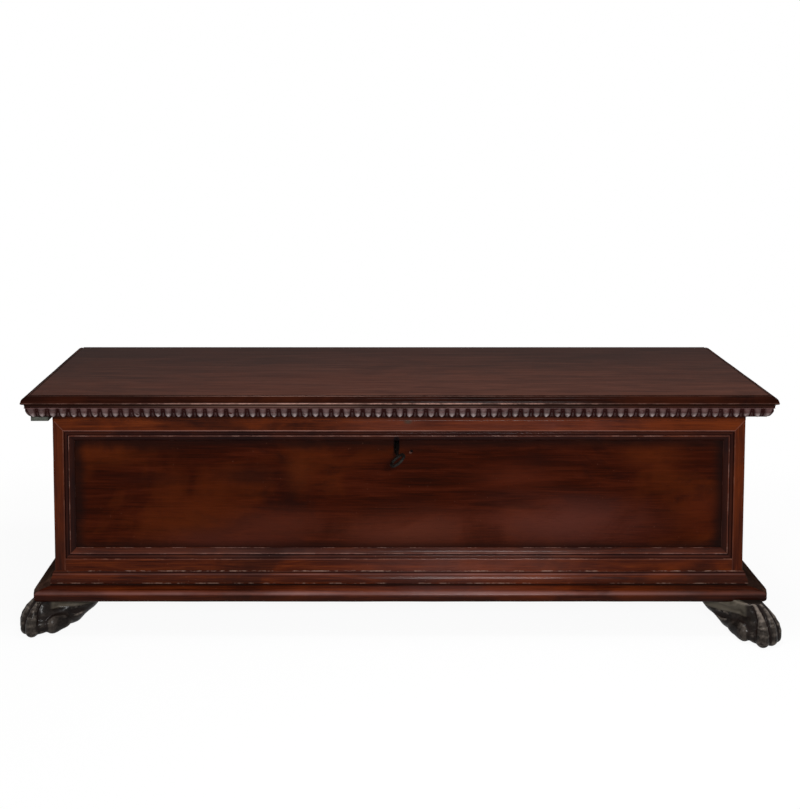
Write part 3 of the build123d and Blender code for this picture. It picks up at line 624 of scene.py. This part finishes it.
# the groove is dark with dirt and painted shade, the cove under the nose with painted shade; the
# nose and the fillet carry painted highlights
lidEdgeSection = section(
    (40, 0, 0, 0.6), (40, 28, 0, 0), (30, 28, 0, 0), (20.8, 28, 0, 0), (20.0, 28, 0, 0.5),
    (19.4, 27.2, 0, 1), (18.4, 25.6, 0, 1), (17.2, 25.4, 0, 1), (16.4, 26.4, 0, 0.6),
    (15.9, 27.0, 0.5, 0, 0.9), (14.2, 27.0, 0.3, 0, 0.9), (13.8, 26.8, 0, 0.4), (12, 26.4, 0, 0.3),
    ("arc", (3.3, 20.8, 0, 0), (0.9, 14.0, 0, 0.15), 9), (0.3, 13.0, 0.3, 0, 0.4),
    (0, 11.9, 0.9, 0, 0.85), (0.1, 11.0, 0.7, 0, 0.7), (0.5, 10.3, 0.1, 0.2, 0.2),
    (1.0, 9.8, 0, 0.5), (3, 8.8, 0, 1), (4, 8.3, 0, 1), (6.2, 8, 0, 0.9),
    (6.8, 7.8, 0.1, 0.3, 0.25), (7.4, 7.0, 0, 0.8), (8.4, 3, 0, 0, 0.4), (9, 0, 0, 0.6),
)


def makeLidEdge():
    points, thick = lidEdgeSection[0], lidEdge["thick"]
    for seed, (word, (place, length)) in enumerate(lidRuns.items()):
        look = lidEdgeWood if word == "front" else lidEdgeSideWood
        piece = sweep(f"lid_{word}_edge", lidEdgeSection, place, length, lidEdge, seed + 1)
        finishPiece(piece, f"lid_{word}_moulding", "lid", "moulding_wood", look, lidWood)
        # the flat inside the groove is of one colour with the boards
        for j, (first, second) in enumerate(zip(points, points[1:])):
            if first[1] == second[1] == thick:
                for i in range(j, len(piece.data.polygons) - 2, len(points)):
                    piece.data.polygons[i].material_index = 1


makeLidEdge()


# carved strip under the lid: rounded tongues with darts between them; lengths in mm, half widths
# in pitches, and From, At and To down the strip from 0 at its top to 1 at its bottom
gadroon = {
    "pitch": 25.2, "height": 25.0, "back": 30, "groundInset": 11.5, "slant": 12.0,
    "columns": 24, "rows": 20, "crease": 60,
    "closing": 30.0,  # the tongues close on the mitre over this length
    # the line along the top of the strip carries a painted highlight
    "lineTo": 0.06, "lineRise": 4.0, "lineWear": 0.1, "lineHighlight": 0.8,
    "tongueHalf": 0.38, "taper": 0.34, "depth": 6.6, "shoulder": 0.62, "fullAt": 0.7,
    # crowns and lower ends of the tongues: rubbed wear and a painted highlight; their edges and
    # upper parts: painted shade
    "roundFrom": 0.66, "roundLength": 0.32, "highlightFrom": 0.5, "highlightLength": 0.3, "highlightTop": 0.14,
    "dartHalf": 0.11, "dartDepth": 2.6, "dartFrom": 0.22, "dartLength": 0.6, "dartTo": 0.97,
    "lean": 0.05, "nudge": 0.04, "lift": (0.8, 1.08), "nicks": 0.35, "nickSize": 0.006,
    "start": 0.35, "startLength": 0.05, "highlightPower": 1.6, "edgeDirtAndShade": 1.2, "shadeFall": 1.7,
    "topShade": 0.2, "dartPower": 0.7, "dartEnd": 0.1, "flankAt": 0.45, "flankWear": 0.2,
}


def gadroonRise(s, v, lean):
    # s across one repeat from -0.5 to 0.5, v down it; returns rise in mm, wear with painted
    # highlight, grime and painted shade, and pale painted highlight
    g = gadroon
    if v < g["lineTo"]:
        return g["lineRise"], g["lineWear"], 0.0, g["lineHighlight"]
    s = (s + lean * (v - 0.5) + 0.5) % 1.0 - 0.5
    half = g["tongueHalf"] * (1 - g["taper"] * v)
    if v > g["roundFrom"]:
        half *= math.sqrt(max(0.0, 1 - ((v - g["roundFrom"]) / g["roundLength"]) ** 2))
    rise, wear, grimeAndShade = 0.0, 0.0, 1.0
    if abs(s) < half:
        crown = math.sqrt(1 - (s / half) ** 2)
        swell = g["shoulder"] + (1 - g["shoulder"]) * min(1.0, v / g["fullAt"])
        begun = min(1.0, (v - g["lineTo"]) / g["startLength"] + g["start"])
        rise = g["depth"] * crown * swell * begun
        low = fade(v, g["highlightFrom"], g["highlightLength"])
        wear = crown ** g["highlightPower"] * (g["highlightTop"] + (1 - g["highlightTop"]) * low)
        grimeAndShade = max(0.0, g["edgeDirtAndShade"] - crown * g["shadeFall"]) + g["topShade"] * (1 - low)
    side = 0.5 - abs(s)
    dart = g["dartHalf"] * fade(v, g["dartFrom"], g["dartLength"])
    if dart > 0 and side < dart and v < g["dartTo"]:
        crown = 1 - side / dart
        ended = min(1.0, (g["dartTo"] - v) / g["dartEnd"])
        level = g["dartDepth"] * crown ** g["dartPower"] * ended
        if level > rise:
            # a thin worn line runs down each flank of the dart
            flank = abs(crown - g["flankAt"])
            rise, wear = level, g["flankWear"] * max(0.0, 1 - flank * 3)
            grimeAndShade = max(0.3, 1.0 - 0.9 * (1 - flank * 2))
    return rise, wear, min(1.0, grimeAndShade), 0.0


def makeGadroon(word, place, length, seed):
    g = gadroon
    # the run's own direction: tongues keep their place along it until they near the corner
    axis = 0 if word == "front" else 1

    def upright(inset, b, t):
        mitred, plumb = place(inset, b, t), place(g["groundInset"], b, t)
        along = min(1.0, min(t, 1 - t) * length / (g["closing"] * mm))
        point = list(mitred)
        point[axis] += (plumb[axis] - mitred[axis]) * along
        return tuple(point)

    rng = random.Random(seed)
    repeats = int(round(length / mm / g["pitch"]))
    columns, rows = repeats * g["columns"], g["rows"]
    leans = [rng.uniform(-g["lean"], g["lean"]) for _ in range(repeats + 1)]
    nudges = [rng.uniform(-g["nudge"], g["nudge"]) for _ in range(repeats + 1)]
    lifts = [rng.uniform(*g["lift"]) for _ in range(repeats + 1)]
    vertices, levels = [], []
    for i in range(columns + 1):
        t = i / columns
        index = min(repeats - 1, i // g["columns"])
        s = i / g["columns"] - index - 0.5
        s += nudges[index] * math.cos(math.pi * s)
        for j in range(rows + 1):
            v = j / rows
            rise, wear, grimeAndShade, pale = gadroonRise(s, v, leans[index])
            inset = g["groundInset"] + g["slant"] * v**2 - rise * lifts[index]
            vertices.append(upright(inset, -v * g["height"], t))
            levels.append((wear * lifts[index], grimeAndShade, pale))
        for depth in (g["height"], 0):
            vertices.append(place(g["back"], -depth, t))
            levels.append((0, 0.3, 0))
    flat = np.array(vertices)
    flat[:, 1] += softNoise(flat, g["nickSize"], seed) * g["nicks"] * mm
    marks = dict(zip(("wear", "grimeAndShade", "pale"), zip(*levels)))
    faces = tubeFaces(columns + 1, rows + 3)
    piece = addPiece(f"lid_{word}_carving", flat, faces, marks, g["crease"])
    finishPiece(piece, f"lid_{word}_gadroon", "lid", "gadroon_wood", gadroonWood)


for seed, (word, (place, length)) in zip((11, 11, 13), lidRuns.items()):
    makeGadroon(word, place, length, seed)
print("lid edge and carving made")


# base: fillet, cove, torus; the spreads carry its two ends out a little further than the front
base = {
    "step": 0.012, "wobble": 0.4, "dents": 1.6,
    "leftSpread": 3.0, "rightSpread": 8.0, "reach": 0.04,
}
baseTopPart = (
    (0, -4, 0, 0.8), (0, 59, 0, 0.9), (0.8, 59, 0.5, 0.4), (1.5, 59, 1, 0), (2.4, 58.7, 1, 0),
    (3.0, 57.9, 0.9, 0, 0.3), (3.5, 57.2, 0, 0.8), (4.4, 56.6, 0, 1), (4.6, 54.4, 0, 0.8),
    (4.8, 52.6, 0, 0.1, 0.2), (5.0, 51.2, 0, 0, 0.8), (5.3, 49.8, 0, 0, 0.3), (5.6, 48, 0, 0),
)
# the torus crown carries a painted highlight, its underside painted shade
baseSection = section(
    *baseTopPart, (6.4, 44.6, 0, 0.1), ("arc", (8.6, 40, 0), (9.6, 32.6, 0, 0.5), 6),
    (9.8, 31.6, 0.1, 0.3), (10, 31, 0.9, 0), (10, 30, 0.9, 0), (9.4, 29.2, 0, 0.7),
    (6.4, 27.6, 0, 1), (6.6, 25.8, 0, 1), (9, 24.6, 0, 0.8), (13, 24, 0, 0.2), (22, 22.6, 0, 0),
    (30, 20.6, 0, 0.1), (33.6, 19.2, 0, 0, 0.2),
    ("arc", (36.4, 17.4, 0), (38.4, 15.0, 0, 0, 0.85), 3), (39.4, 13.0, 0, 0.1, 0.5),
    (40, 11, 0, 0.4), (40.2, 8.6, 0, 0.62), ("arc", (38.9, -0.6, 0), (31.5, -7.0, 0, 0.8), 9),
    (30.6, -7.4, 0, 1), (15, -7.4, 0, 0.9),
)
# the moulding along the ends is fuller and plainer
baseEndSection = section(
    *baseTopPart, ("arc", (10, 44, 0), (22, 36.5, 0, 0.2), 6), (31, 34, 0.1, 0),
    (36.5, 31, 0.3, 0, 0.2), (39.2, 26, 0.2, 0), (40.2, 17, 0, 0), (40.2, 7.4, 0, 0.3),
    ("arc", (38.9, -0.8, 0), (31.5, -7.0, 0, 1), 9), (30.6, -7.4, 0, 1), (15, -7.4, 0, 0.9),
)


def spreadEnds(place):
    def spread(a, b, t):
        x, y, z = place(a, b, t)
        beyond = fade(abs(x), halfChest, base["reach"])
        return x + beyond * (base["rightSpread"] if x > 0 else -base["leftSpread"]) * mm, y, z
    return spread


def makeBase():
    runs = threeRuns(halfChest, chestFront, chestBack, baseBottom, -1)
    for seed, (word, (place, length)) in enumerate(runs.items()):
        outline, look = (baseSection, baseWood) if word == "front" else (baseEndSection, endWood)
        piece = sweep(f"base_{word}_torus", outline, spreadEnds(place), length, base, seed + 21)
        finishPiece(piece, f"base_{word}_moulding", "carcass", "moulding_wood", look)


makeBase()


# flat frame: boards with worn, rounded arrises; the sill is its height above the base's bottom
flatFrame = {
    "arris": 1.5, "margin": 3.5, "sill": 18, "step": 0.014, "wobble": 0.2, "dents": 1.2,
}


def frameRun(corners, upright):
    # corners: outer start, outer end, inner end, inner start, as (x, z) in metres
    # a goes from the outer edge, where it is 0, to the inner one
    (ox0, oz0), (ox1, oz1), (ix1, iz1), (ix0, iz0) = corners
    width = abs(iz0 - oz0) if not upright else abs(ix0 - ox0)

    def place(a, b, t):
        outerX, outerZ = ox0 + (ox1 - ox0) * t, oz0 + (oz1 - oz0) * t
        innerX, innerZ = ix0 + (ix1 - ix0) * t, iz0 + (iz1 - iz0) * t
        share = a * mm / width
        x, z = outerX + (innerX - outerX) * share, outerZ + (innerZ - outerZ) * share
        return x, boardFace - b * mm, z
    return place


def flatSection(width, depth, outerWear, innerWear, innerHighlight):
    r, margin = flatFrame["arris"], flatFrame["margin"]
    # the inner arris carries a painted highlight; the edges against the carcass and the opening
    # carry painted shade
    return section(
        (0, 0, 0, 0.8), (0, depth - r, outerWear * 0.4, 0.5),
        (r * 0.4, depth - r * 0.3, outerWear, 0.1), (r * 1.2, depth, 0, 0), (margin, depth, 0, 0),
        (width * 0.35, depth + 0.1, 0, 0), (width * 0.65, depth + 0.1, 0, 0),
        (width - margin, depth, 0, 0.1),
        (width - r * 2.2, depth, 0, 0.1), (width - r * 1.7, depth, innerWear * 0.5, 0, innerHighlight),
        (width - r * 0.3, depth - r * 0.6, innerWear, 0, innerHighlight),
        (width, depth - r * 1.2, 0, 0.6), (width, 0, 0, 1),
    )


def makeFrame():
    depth = (boardFace - chestFront) / mm
    outerTop = frameHigh.z
    sill = baseBottom + flatFrame["sill"] * mm

    def level(outerX, outerZ, innerZ):
        inner = (halfOpening, innerZ), (-halfOpening, innerZ)
        return (-outerX, outerZ), (outerX, outerZ), *inner

    # corners, whether it stands upright, wood, wear of the outer and inner edge, painted highlight
    # on the inner edge
    pieces = {
        "top": (level(halfChest, outerTop, openingTop), False, railWood, 0.1, 0.6, 1.0),
        "bottom": (level(halfOpening, sill, openingBottom), False, mouldingAlongX, 0.0, 0.5, 0.35),
    }
    for side, word in ((-1, "left"), (1, "right")):
        upright = (
            (side * halfChest, sill), (side * halfChest, outerTop),
            (side * halfOpening, openingTop), (side * halfOpening, sill),
        )
        pieces[word] = (upright, True, mouldingUpright, 0.4, 0.3, 0.3)
    for seed, (word, (corners, upright, look, *edges)) in enumerate(pieces.items()):
        width = abs(corners[3][1] - corners[0][1]) / mm
        if upright:
            width = (halfChest - halfOpening) / mm
        length = (outerTop - sill) if upright else 2 * halfChest
        outline = flatSection(width, depth, *edges)
        piece = sweep(f"front_flat_{word}", outline, frameRun(corners, upright), length,
                      flatFrame, seed + 31, mitredStations)
        if word == "top":
            # painted highlight lines along the mitres
            points, pale = outline[0], piece.data.attributes["pale"].data
            for ring in (0, len(pale) // len(points) - 1):
                for j, (a, b) in enumerate(points):
                    pale[ring * len(points) + j].value = 1.0 if b >= depth - 0.2 else 0.0
        finishPiece(piece, f"front_frame_{word}", "carcass", "moulding_wood", look)


makeFrame()


# bead and ovolo inside the frame
bead = {"step": 0.01, "wobble": 0.25, "dents": 1.2}
# the upper run's faces turned down into the recess are darkened as painted shade
beadSection = section(
    (0, 0, 0, 1), (0, 7.6, 0, 1), (1.2, 8.2, 0, 1), (2.6, 9.2, 0, 0.7),
    ("arc", (5.0, 10.2, 0), (8.4, 8.8, 0, 0.8), 6), (8.9, 8.2, 0, 0.9), (9.5, 7.2, 0, 1),
    (10.2, 7.1, 0, 1), (10.8, 8.2, 0.3, 0.2, 0.4), (11.3, 8.7, 0.9, 0, 0.75),
    (12.1, 8.8, 0.8, 0, 0.7), (12.8, 8.7, 0, 0.6), (13.8, 8.6, 0, 0.85),
    ("arc", (18.6, 7.0, 0), (24, 2.9, 0, 0.9), 8), (24.6, 2.2, 0.2, 0.7), (25, 1.4, 0, 1),
    (25, 0, 0, 1),
)
# the lower run catches more light and less dirt
beadLowSection = section(
    (0, 0, 0, 1), (0, 7.6, 0, 1), (1.0, 8.2, 0, 0.9), (2.4, 9.2, 0, 0.2, 0.3),
    ("arc", (5.0, 10.2, 0), (8.2, 8.8, 0, 0.6), 6), (8.8, 8.2, 0, 0.9), (9.5, 7.2, 0, 1),
    (10.2, 7.1, 0, 0.8), (10.8, 8.2, 0.4, 0.1, 0.5), (11.4, 8.7, 0.8, 0, 0.9),
    (13.6, 8.7, 0.1, 0, 0.8), (14.6, 8.5, 0, 0.3, 0.2),
    ("arc", (18.6, 7.0, 0), (24, 2.9, 0, 0.5, 0.1), 8), (24.6, 2.2, 0.9, 0, 0.2),
    (25, 1.4, 0.2, 0.8), (25, 0, 0, 1),
)


def beadRun(axis, sign):
    def place(a, b, t):
        if axis == "x":
            z = openingTop - a * mm if sign > 0 else openingBottom + a * mm
            return (2 * t - 1) * (halfOpening - a * mm), boardFace - b * mm, z
        low, high = openingBottom + a * mm, openingTop - a * mm
        return sign * (halfOpening - a * mm), boardFace - b * mm, low + (high - low) * t
    return place


def makeBeads():
    runs = {"top": ("x", 1), "bottom": ("x", -1), "left": ("z", -1), "right": ("z", 1)}
    for seed, (word, (axis, sign)) in enumerate(runs.items()):
        outline = beadLowSection if word == "bottom" else beadSection
        length, look = 2 * halfOpening, beadAlongX
        if axis == "z":
            length, look = openingTop - openingBottom, beadUpright
        place = beadRun(axis, sign)
        piece = sweep(f"front_round_{word}", outline, place, length, bead, seed + 41)
        finishPiece(piece, f"front_bead_{word}", "carcass", "moulding_wood", look)


makeBeads()
print("base, frame and beads made")


# Paws. One field gives the distance to the carved skin, negative inside, in mm: u ahead of the
# heel, v out from the middle line, z above the floor. The skin is drawn where the field is zero.
# Limbs are rows of (u, v, z, radius), rounds are a centre and three radii.
paw = {
    "step": 2.0, "low": (-110, -56, -4), "high": (134, 58, 96), "height": 92.0, "crease": 50,
    "leg": (
        (-104, 0, 108, 20), (-70, 0, 86, 29), (-34, 0, 62, 34), (2, 0, 45, 40),
        (40, 2, 36, 35), (76, 4, 44, 32),
    ),
    "top": ((-96, 0, 96, 34), (20, 0, 92, 40), (44, 0, 90, 32)), "topBlend": 6.0,
    # flat sides, leaning in towards the top
    "inner": 40, "outer": 42, "leanFrom": 60, "leanLength": 32, "lean": 7, "sideBlend": 5.0,
    "hollow": ((-2, -45, 48), (62, 10, 11)), "hollowBlend": 1.4,
    "instep": ((44, 0, 88, 25), (79, 5, 56, 26), (97, 8, 32, 25)), "instepBlend": 4.0,
    "pad": ((80, 2, 24), (39, 36, 24)), "padBlend": 5.0,
    "sideToe": (((60, -29, 23), (22, 16, 22)), ((38, -31, 27), (27, 11, 20))),
    "sideToeJoin": 6.0, "sideToeBlend": 2.6,
    "sole": ((89, 8, 12), (32, 38, 12.5)), "soleBlend": 3.0,
    # three long toes with thin tendons: middle line, tip and lift of each
    "toes": ((-17.0, 126.0, 0.0), (8.5, 127.0, 2.0), (32.0, 118.0, -2.0)),
    # a toe's limb: back from its tip, share of its middle line, z, whether it lifts, radius
    "toeLimb": (
        (54, 0.5, 92, 0, 4.6), (32, 0.78, 74, 1, 5.8), (22, 0.9, 60, 1, 8.6),
        (17, 0.98, 45, 1, 12.2), (15, 1, 30, 0, 14.4), (16, 1, 15.6, 0, 15.6),
    ),
    "jointBlend": 0.6, "toeBlend": 3.0, "limbBlend": 3.0, "soleAt": 0.3,
    # chisel marks keep clear of the flat sole and top
    "chisel": 0.5, "chiselSize": 0.014, "clear": 2,
    # where each mark starts, and the length over which it becomes full
    "wear": (22, 80), "grimeAndShade": (0, 80), "bendRounds": 2,
    # the flat facet high on the inner side is painted lighter where it faces the light: painted
    # highlight
    "facet": {"up": (58.5, 3), "inward": (19, 5), "back": (-66, 8)},
    "flare": {"up": (24, 68), "inward": (-10, 45), "back": (-20, 60)},
}


def blendUnion(first, second, soft):
    share = np.clip(0.5 + 0.5 * (second - first) / soft, 0, 1)
    return second * (1 - share) + first * share - soft * share * (1 - share)


def blendCut(first, second, soft):
    return -blendUnion(-first, second, soft)


def limbField(points, path, soft=paw["limbBlend"]):
    # path: (u, v, z, radius) joined by tapering round runs
    best = None
    for start, end in zip(path[:-1], path[1:]):
        a, b = np.array(start[:3]), np.array(end[:3])
        line = b - a
        share = np.clip(((points - a) @ line) / (line @ line), 0, 1)
        gap = np.linalg.norm(points - a - share[:, None] * line, axis=1)
        gap -= start[3] + (end[3] - start[3]) * share
        best = gap if best is None else blendUnion(best, gap, soft)
    return best


def ballField(points, centre, radii):
    scaled = (points - np.array(centre)) / np.array(radii)
    return (np.linalg.norm(scaled, axis=1) - 1) * min(radii)


def pawField(points):
    v, z = points.T[1:]
    leg, top = limbField(points, paw["leg"]), limbField(points, paw["top"])
    skin = blendUnion(leg, top, paw["topBlend"])
    lean = fade(z, paw["leanFrom"], paw["leanLength"]) * paw["lean"]
    skin = np.maximum(skin, -v - paw["inner"] + lean)
    skin = blendCut(skin, paw["outer"] - v, paw["sideBlend"])
    # hollow under the flat facet of the inner side
    skin = blendCut(skin, ballField(points, *paw["hollow"]), paw["hollowBlend"])
    skin = blendUnion(skin, limbField(points, paw["instep"]), paw["instepBlend"])
    skin = blendUnion(skin, ballField(points, *paw["pad"]), paw["padBlend"])
    front, back = (ballField(points, *ball) for ball in paw["sideToe"])
    skin = blendUnion(skin, blendUnion(front, back, paw["sideToeJoin"]), paw["sideToeBlend"])
    skin = blendUnion(skin, ballField(points, *paw["sole"]), paw["soleBlend"])
    for middle, tip, lift in paw["toes"]:
        limb = [
            (tip - back, middle * share, height + lift * lifts, radius)
            for back, share, height, lifts, radius in paw["toeLimb"]
        ]
        skin = blendUnion(skin, limbField(points, limb, paw["jointBlend"]), paw["toeBlend"])
    # flat at the top, and at the sole
    skin = np.maximum(skin, z - paw["height"])
    return np.maximum(skin, paw["soleAt"] - z)


def skinOf(field, low, high, step):
    # one point in each cell that the skin crosses, one face round each grid edge that crosses it
    axes = [np.arange(low[i], high[i] + step, step) for i in range(3)]
    grid = np.stack(np.meshgrid(*axes, indexing="ij"), axis=-1)
    values = field(grid.reshape(-1, 3)).reshape(grid.shape[:3])
    cells = tuple(n - 1 for n in values.shape)
    total, hits = np.zeros(cells + (3,)), np.zeros(cells)
    corners = [(i, j, k) for i in (0, 1) for j in (0, 1) for k in (0, 1)]

    def at(corner):
        return tuple(slice(c, c + n) for c, n in zip(corner, cells))

    for first in corners:
        for axis in range(3):
            if first[axis]:
                continue
            second = tuple(c + (i == axis) for i, c in enumerate(first))
            va, vb = values[at(first)], values[at(second)]
            crossed = (va < 0) != (vb < 0)
            share = np.where(crossed, va / np.where(crossed, va - vb, 1), 0)
            point = grid[at(first)] + share[..., None] * (grid[at(second)] - grid[at(first)])
            total += point * crossed[..., None]
            hits += crossed
    used = hits > 0
    index = np.full(cells, -1)
    index[used] = np.arange(used.sum())
    vertices = total[used] / hits[used][:, None]
    faces = []
    for axis in range(3):
        a, b = [i for i in range(3) if i != axis]
        near = [slice(1, -1)] * 3
        near[axis] = slice(0, -1)
        far = list(near)
        far[axis] = slice(1, None)
        va, vb = values[tuple(near)], values[tuple(far)]
        spots = np.argwhere((va < 0) != (vb < 0))
        around = []
        for da, db in ((0, 0), (1, 0), (1, 1), (0, 1)):
            spot = spots.copy()
            spot[:, a] += da
            spot[:, b] += db
            around.append(index[tuple(spot.T)])
        faces += [tuple(int(n) for n in quad) for quad in np.stack(around, axis=1)]
    return vertices, faces


def normalsOf(mesh):
    normals = np.empty(len(mesh.vertices) * 3)
    mesh.vertices.foreach_get("normal", normals)
    return normals.reshape(-1, 3)


def edgeBend(mesh, points, rounds):
    # positive where the skin stands out, negative in the hollows
    count = len(points)
    normals = normalsOf(mesh)
    edges = np.empty(len(mesh.edges) * 2, dtype=np.int32)
    mesh.edges.foreach_get("vertices", edges)
    first, second = edges.reshape(-1, 2).T
    along = points[second] - points[first]
    length = np.linalg.norm(along, axis=1) + 1e-9
    turned = ((normals[second] - normals[first]) * along).sum(axis=1) / length**2
    valence = np.maximum(np.bincount(edges, minlength=count), 1)

    def gather(atFirst, atSecond):
        total = np.zeros(count)
        np.add.at(total, first, atFirst)
        np.add.at(total, second, atSecond)
        return total / valence

    bend = gather(turned, turned)
    for _ in range(rounds):
        bend = 0.5 * bend + 0.5 * gather(bend[second], bend[first])
    return bend


# each paw: x and y of its heel, heading in degrees, hand, and how far its inner side flares in mm
pawSpots = {
    "front_left": (-halfChest + 27 * mm, chestFront + 42 * mm, 218, -1, 30),
    "front_right": (halfChest - 18 * mm, chestFront + 4 * mm, -60, 1, 42),
    "rear_left": (-halfChest + 46 * mm, chestBack - 48 * mm, 180, -1, 0),
    "rear_right": (halfChest - 46 * mm, chestBack - 48 * mm, 0, 1, 0),
}


def makePaws():
    skin, faces = skinOf(pawField, paw["low"], paw["high"], paw["step"])
    for seed, (word, (x, y, heading, hand, flare)) in enumerate(pawSpots.items()):
        turn = math.radians(heading)
        u, v, z = skin.T
        facet, inner = (
            fade(-v, *zone["inward"]) * fade(-u, *zone["back"]) * fade(z, *zone["up"])
            for zone in (paw["facet"], paw["flare"])
        )
        v = (v - flare * inner) * hand
        worldX = x + (u * math.cos(turn) - v * math.sin(turn)) * mm
        worldY = y + (u * math.sin(turn) + v * math.cos(turn)) * mm
        world = np.stack((worldX, worldY, z * mm), axis=1)
        piece = addPiece(f"{word}_claw", world, faces, None, paw["crease"])
        bend = edgeBend(piece.data, world, paw["bendRounds"])
        chisel = softNoise(world, paw["chiselSize"], seed + 61) * paw["chisel"] * mm
        loose = (z > paw["clear"]) & (z < paw["height"] - paw["clear"])
        world = world + normalsOf(piece.data) * (chisel * loose)[:, None]
        piece.data.vertices.foreach_set("co", world.ravel())
        # the ridges get rubbed wear and a painted highlight, the hollows dirt and painted shade,
        # and the facet a painted highlight
        wear, grimeAndShade = fade(bend, *paw["wear"]), fade(-bend, *paw["grimeAndShade"])
        addMarks(piece.data, {"wear": wear, "grimeAndShade": grimeAndShade, "pale": facet})
        piece.data.update()
        finishPiece(piece, f"{word}_paw", "carcass", "paw_wood", pawWood)


makePaws()
print("paws made")


# nodes that keep their own shape take their materials here; the rest of them are iron
nodeLooks = {
    "lid_front_board": lidWood, "lid_rear_board": lidWood, "lid_left_cleat": cleatWood,
    "lid_right_cleat": cleatWood, "key": blackIron, "front_board": panelWood,
    "left_end_board": mouldingAlongY, "right_end_board": mouldingAlongY,
    "back_lower_board": plainWood, "back_upper_board": plainWood,
    "floor_front_board": plainWood, "floor_rear_board": plainWood, "front_top_band": railWood,
}


def dressNodes():
    for node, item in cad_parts.items():
        if not item.hide_render:
            item.data.materials.clear()
            item.data.materials.append(nodeLooks.get(node, forgedIron))


dressNodes()
print("nodes dressed")


def mixShown(tree, output, lit, shown):
    # shown is what is seen directly, mirrored or through glass, lit gives the plain bounced light
    path = addNode(tree, "LightPath")
    share = calc(tree, "ADD", path.outputs["Is Camera Ray"], path.outputs["Is Glossy Ray"])
    share = calc(tree, "ADD", share, path.outputs["Is Transmission Ray"], True)
    mix = addNode(tree, "MixShader", n0=share, n1=lit.outputs[0], n2=shown.outputs[0])
    addNode(tree, output, Surface=mix.outputs[0])


# pale floor that fades to white away from the chest
floorLook = {
    "height": -0.0005, "halfSize": 12.0, "pale": 0.9, "white": 0.94, "bounce": 0.3,
    "fadeFrom": 1.0, "fadeTo": 1.9, "fadeStretch": (0.75, 1.2, 1),
}


def makeFloor():
    half, z = floorLook["halfSize"], floorLook["height"]
    corners = [(-half, -half, z), (half, -half, z), (half, half, z), (-half, half, z)]
    mesh = bpy.data.meshes.new("floor")
    mesh.from_pydata(corners, [], [(0, 1, 2, 3)])
    floor = addObject("floor", mesh)
    material, tree = emptyMaterial("floorWhite")
    pale = addNode(tree, "BsdfDiffuse", Color=(floorLook["pale"],) * 3 + (1,))
    dull = addNode(tree, "BsdfDiffuse", Color=(floorLook["bounce"],) * 3 + (1,))
    white = addNode(tree, "Emission", Color=(1, 1, 1, 1), Strength=1.0)
    coords = addNode(tree, "TexCoord").outputs[3]
    scaled = vectorCalc(tree, "MULTIPLY", coords, floorLook["fadeStretch"]).outputs[0]
    away = vectorCalc(tree, "LENGTH", scaled).outputs[1]
    share = span(tree, away, floorLook["fadeFrom"], floorLook["fadeTo"], floorLook["white"], 1.0)
    seen = addNode(tree, "MixShader", n0=share, n1=pale.outputs[0], n2=white.outputs[0])
    mixShown(tree, "OutputMaterial", dull, seen)
    mesh.materials.append(material)


worldLook = {"ambient": 0.3}


def makeWorld():
    world = bpy.data.worlds.new("world")
    scene.world = world
    world.use_nodes = True
    tree = world.node_tree
    tree.nodes.clear()
    plain = addNode(tree, "Background", Color=(1, 1, 1, 1), Strength=worldLook["ambient"])
    white = addNode(tree, "Background", Color=(1, 1, 1, 1), Strength=1.0)
    mixShown(tree, "OutputWorld", plain, white)


lamps = (
    # name, place, aimed at, size, power
    ("keyLamp", (0.5, -3.5, 1.75), (0.05, -0.3, 0.35), (0.8, 0.4), 78),
    ("fillLamp", (-2.6, -2.9, 1.2), (0, -0.2, 0.3), (0.5, 0.5), 14),
    ("topLamp", (0.35, -0.45, 2.4), (0.2, -0.1, 0.55), (0.9, 0.5), 34),
)


def makeLamps():
    for name, place, aim, size, power in lamps:
        data = bpy.data.lights.new(name, "AREA")
        data.shape = "RECTANGLE"
        data.size, data.size_y = size
        data.energy = power
        lamp = addObject(name, data)
        lamp.location = place
        lamp.rotation_euler = (Vector(aim) - Vector(place)).to_track_quat("-Z", "Y").to_euler()


makeFloor()
makeWorld()
makeLamps()
print("floor, world and lamps made")
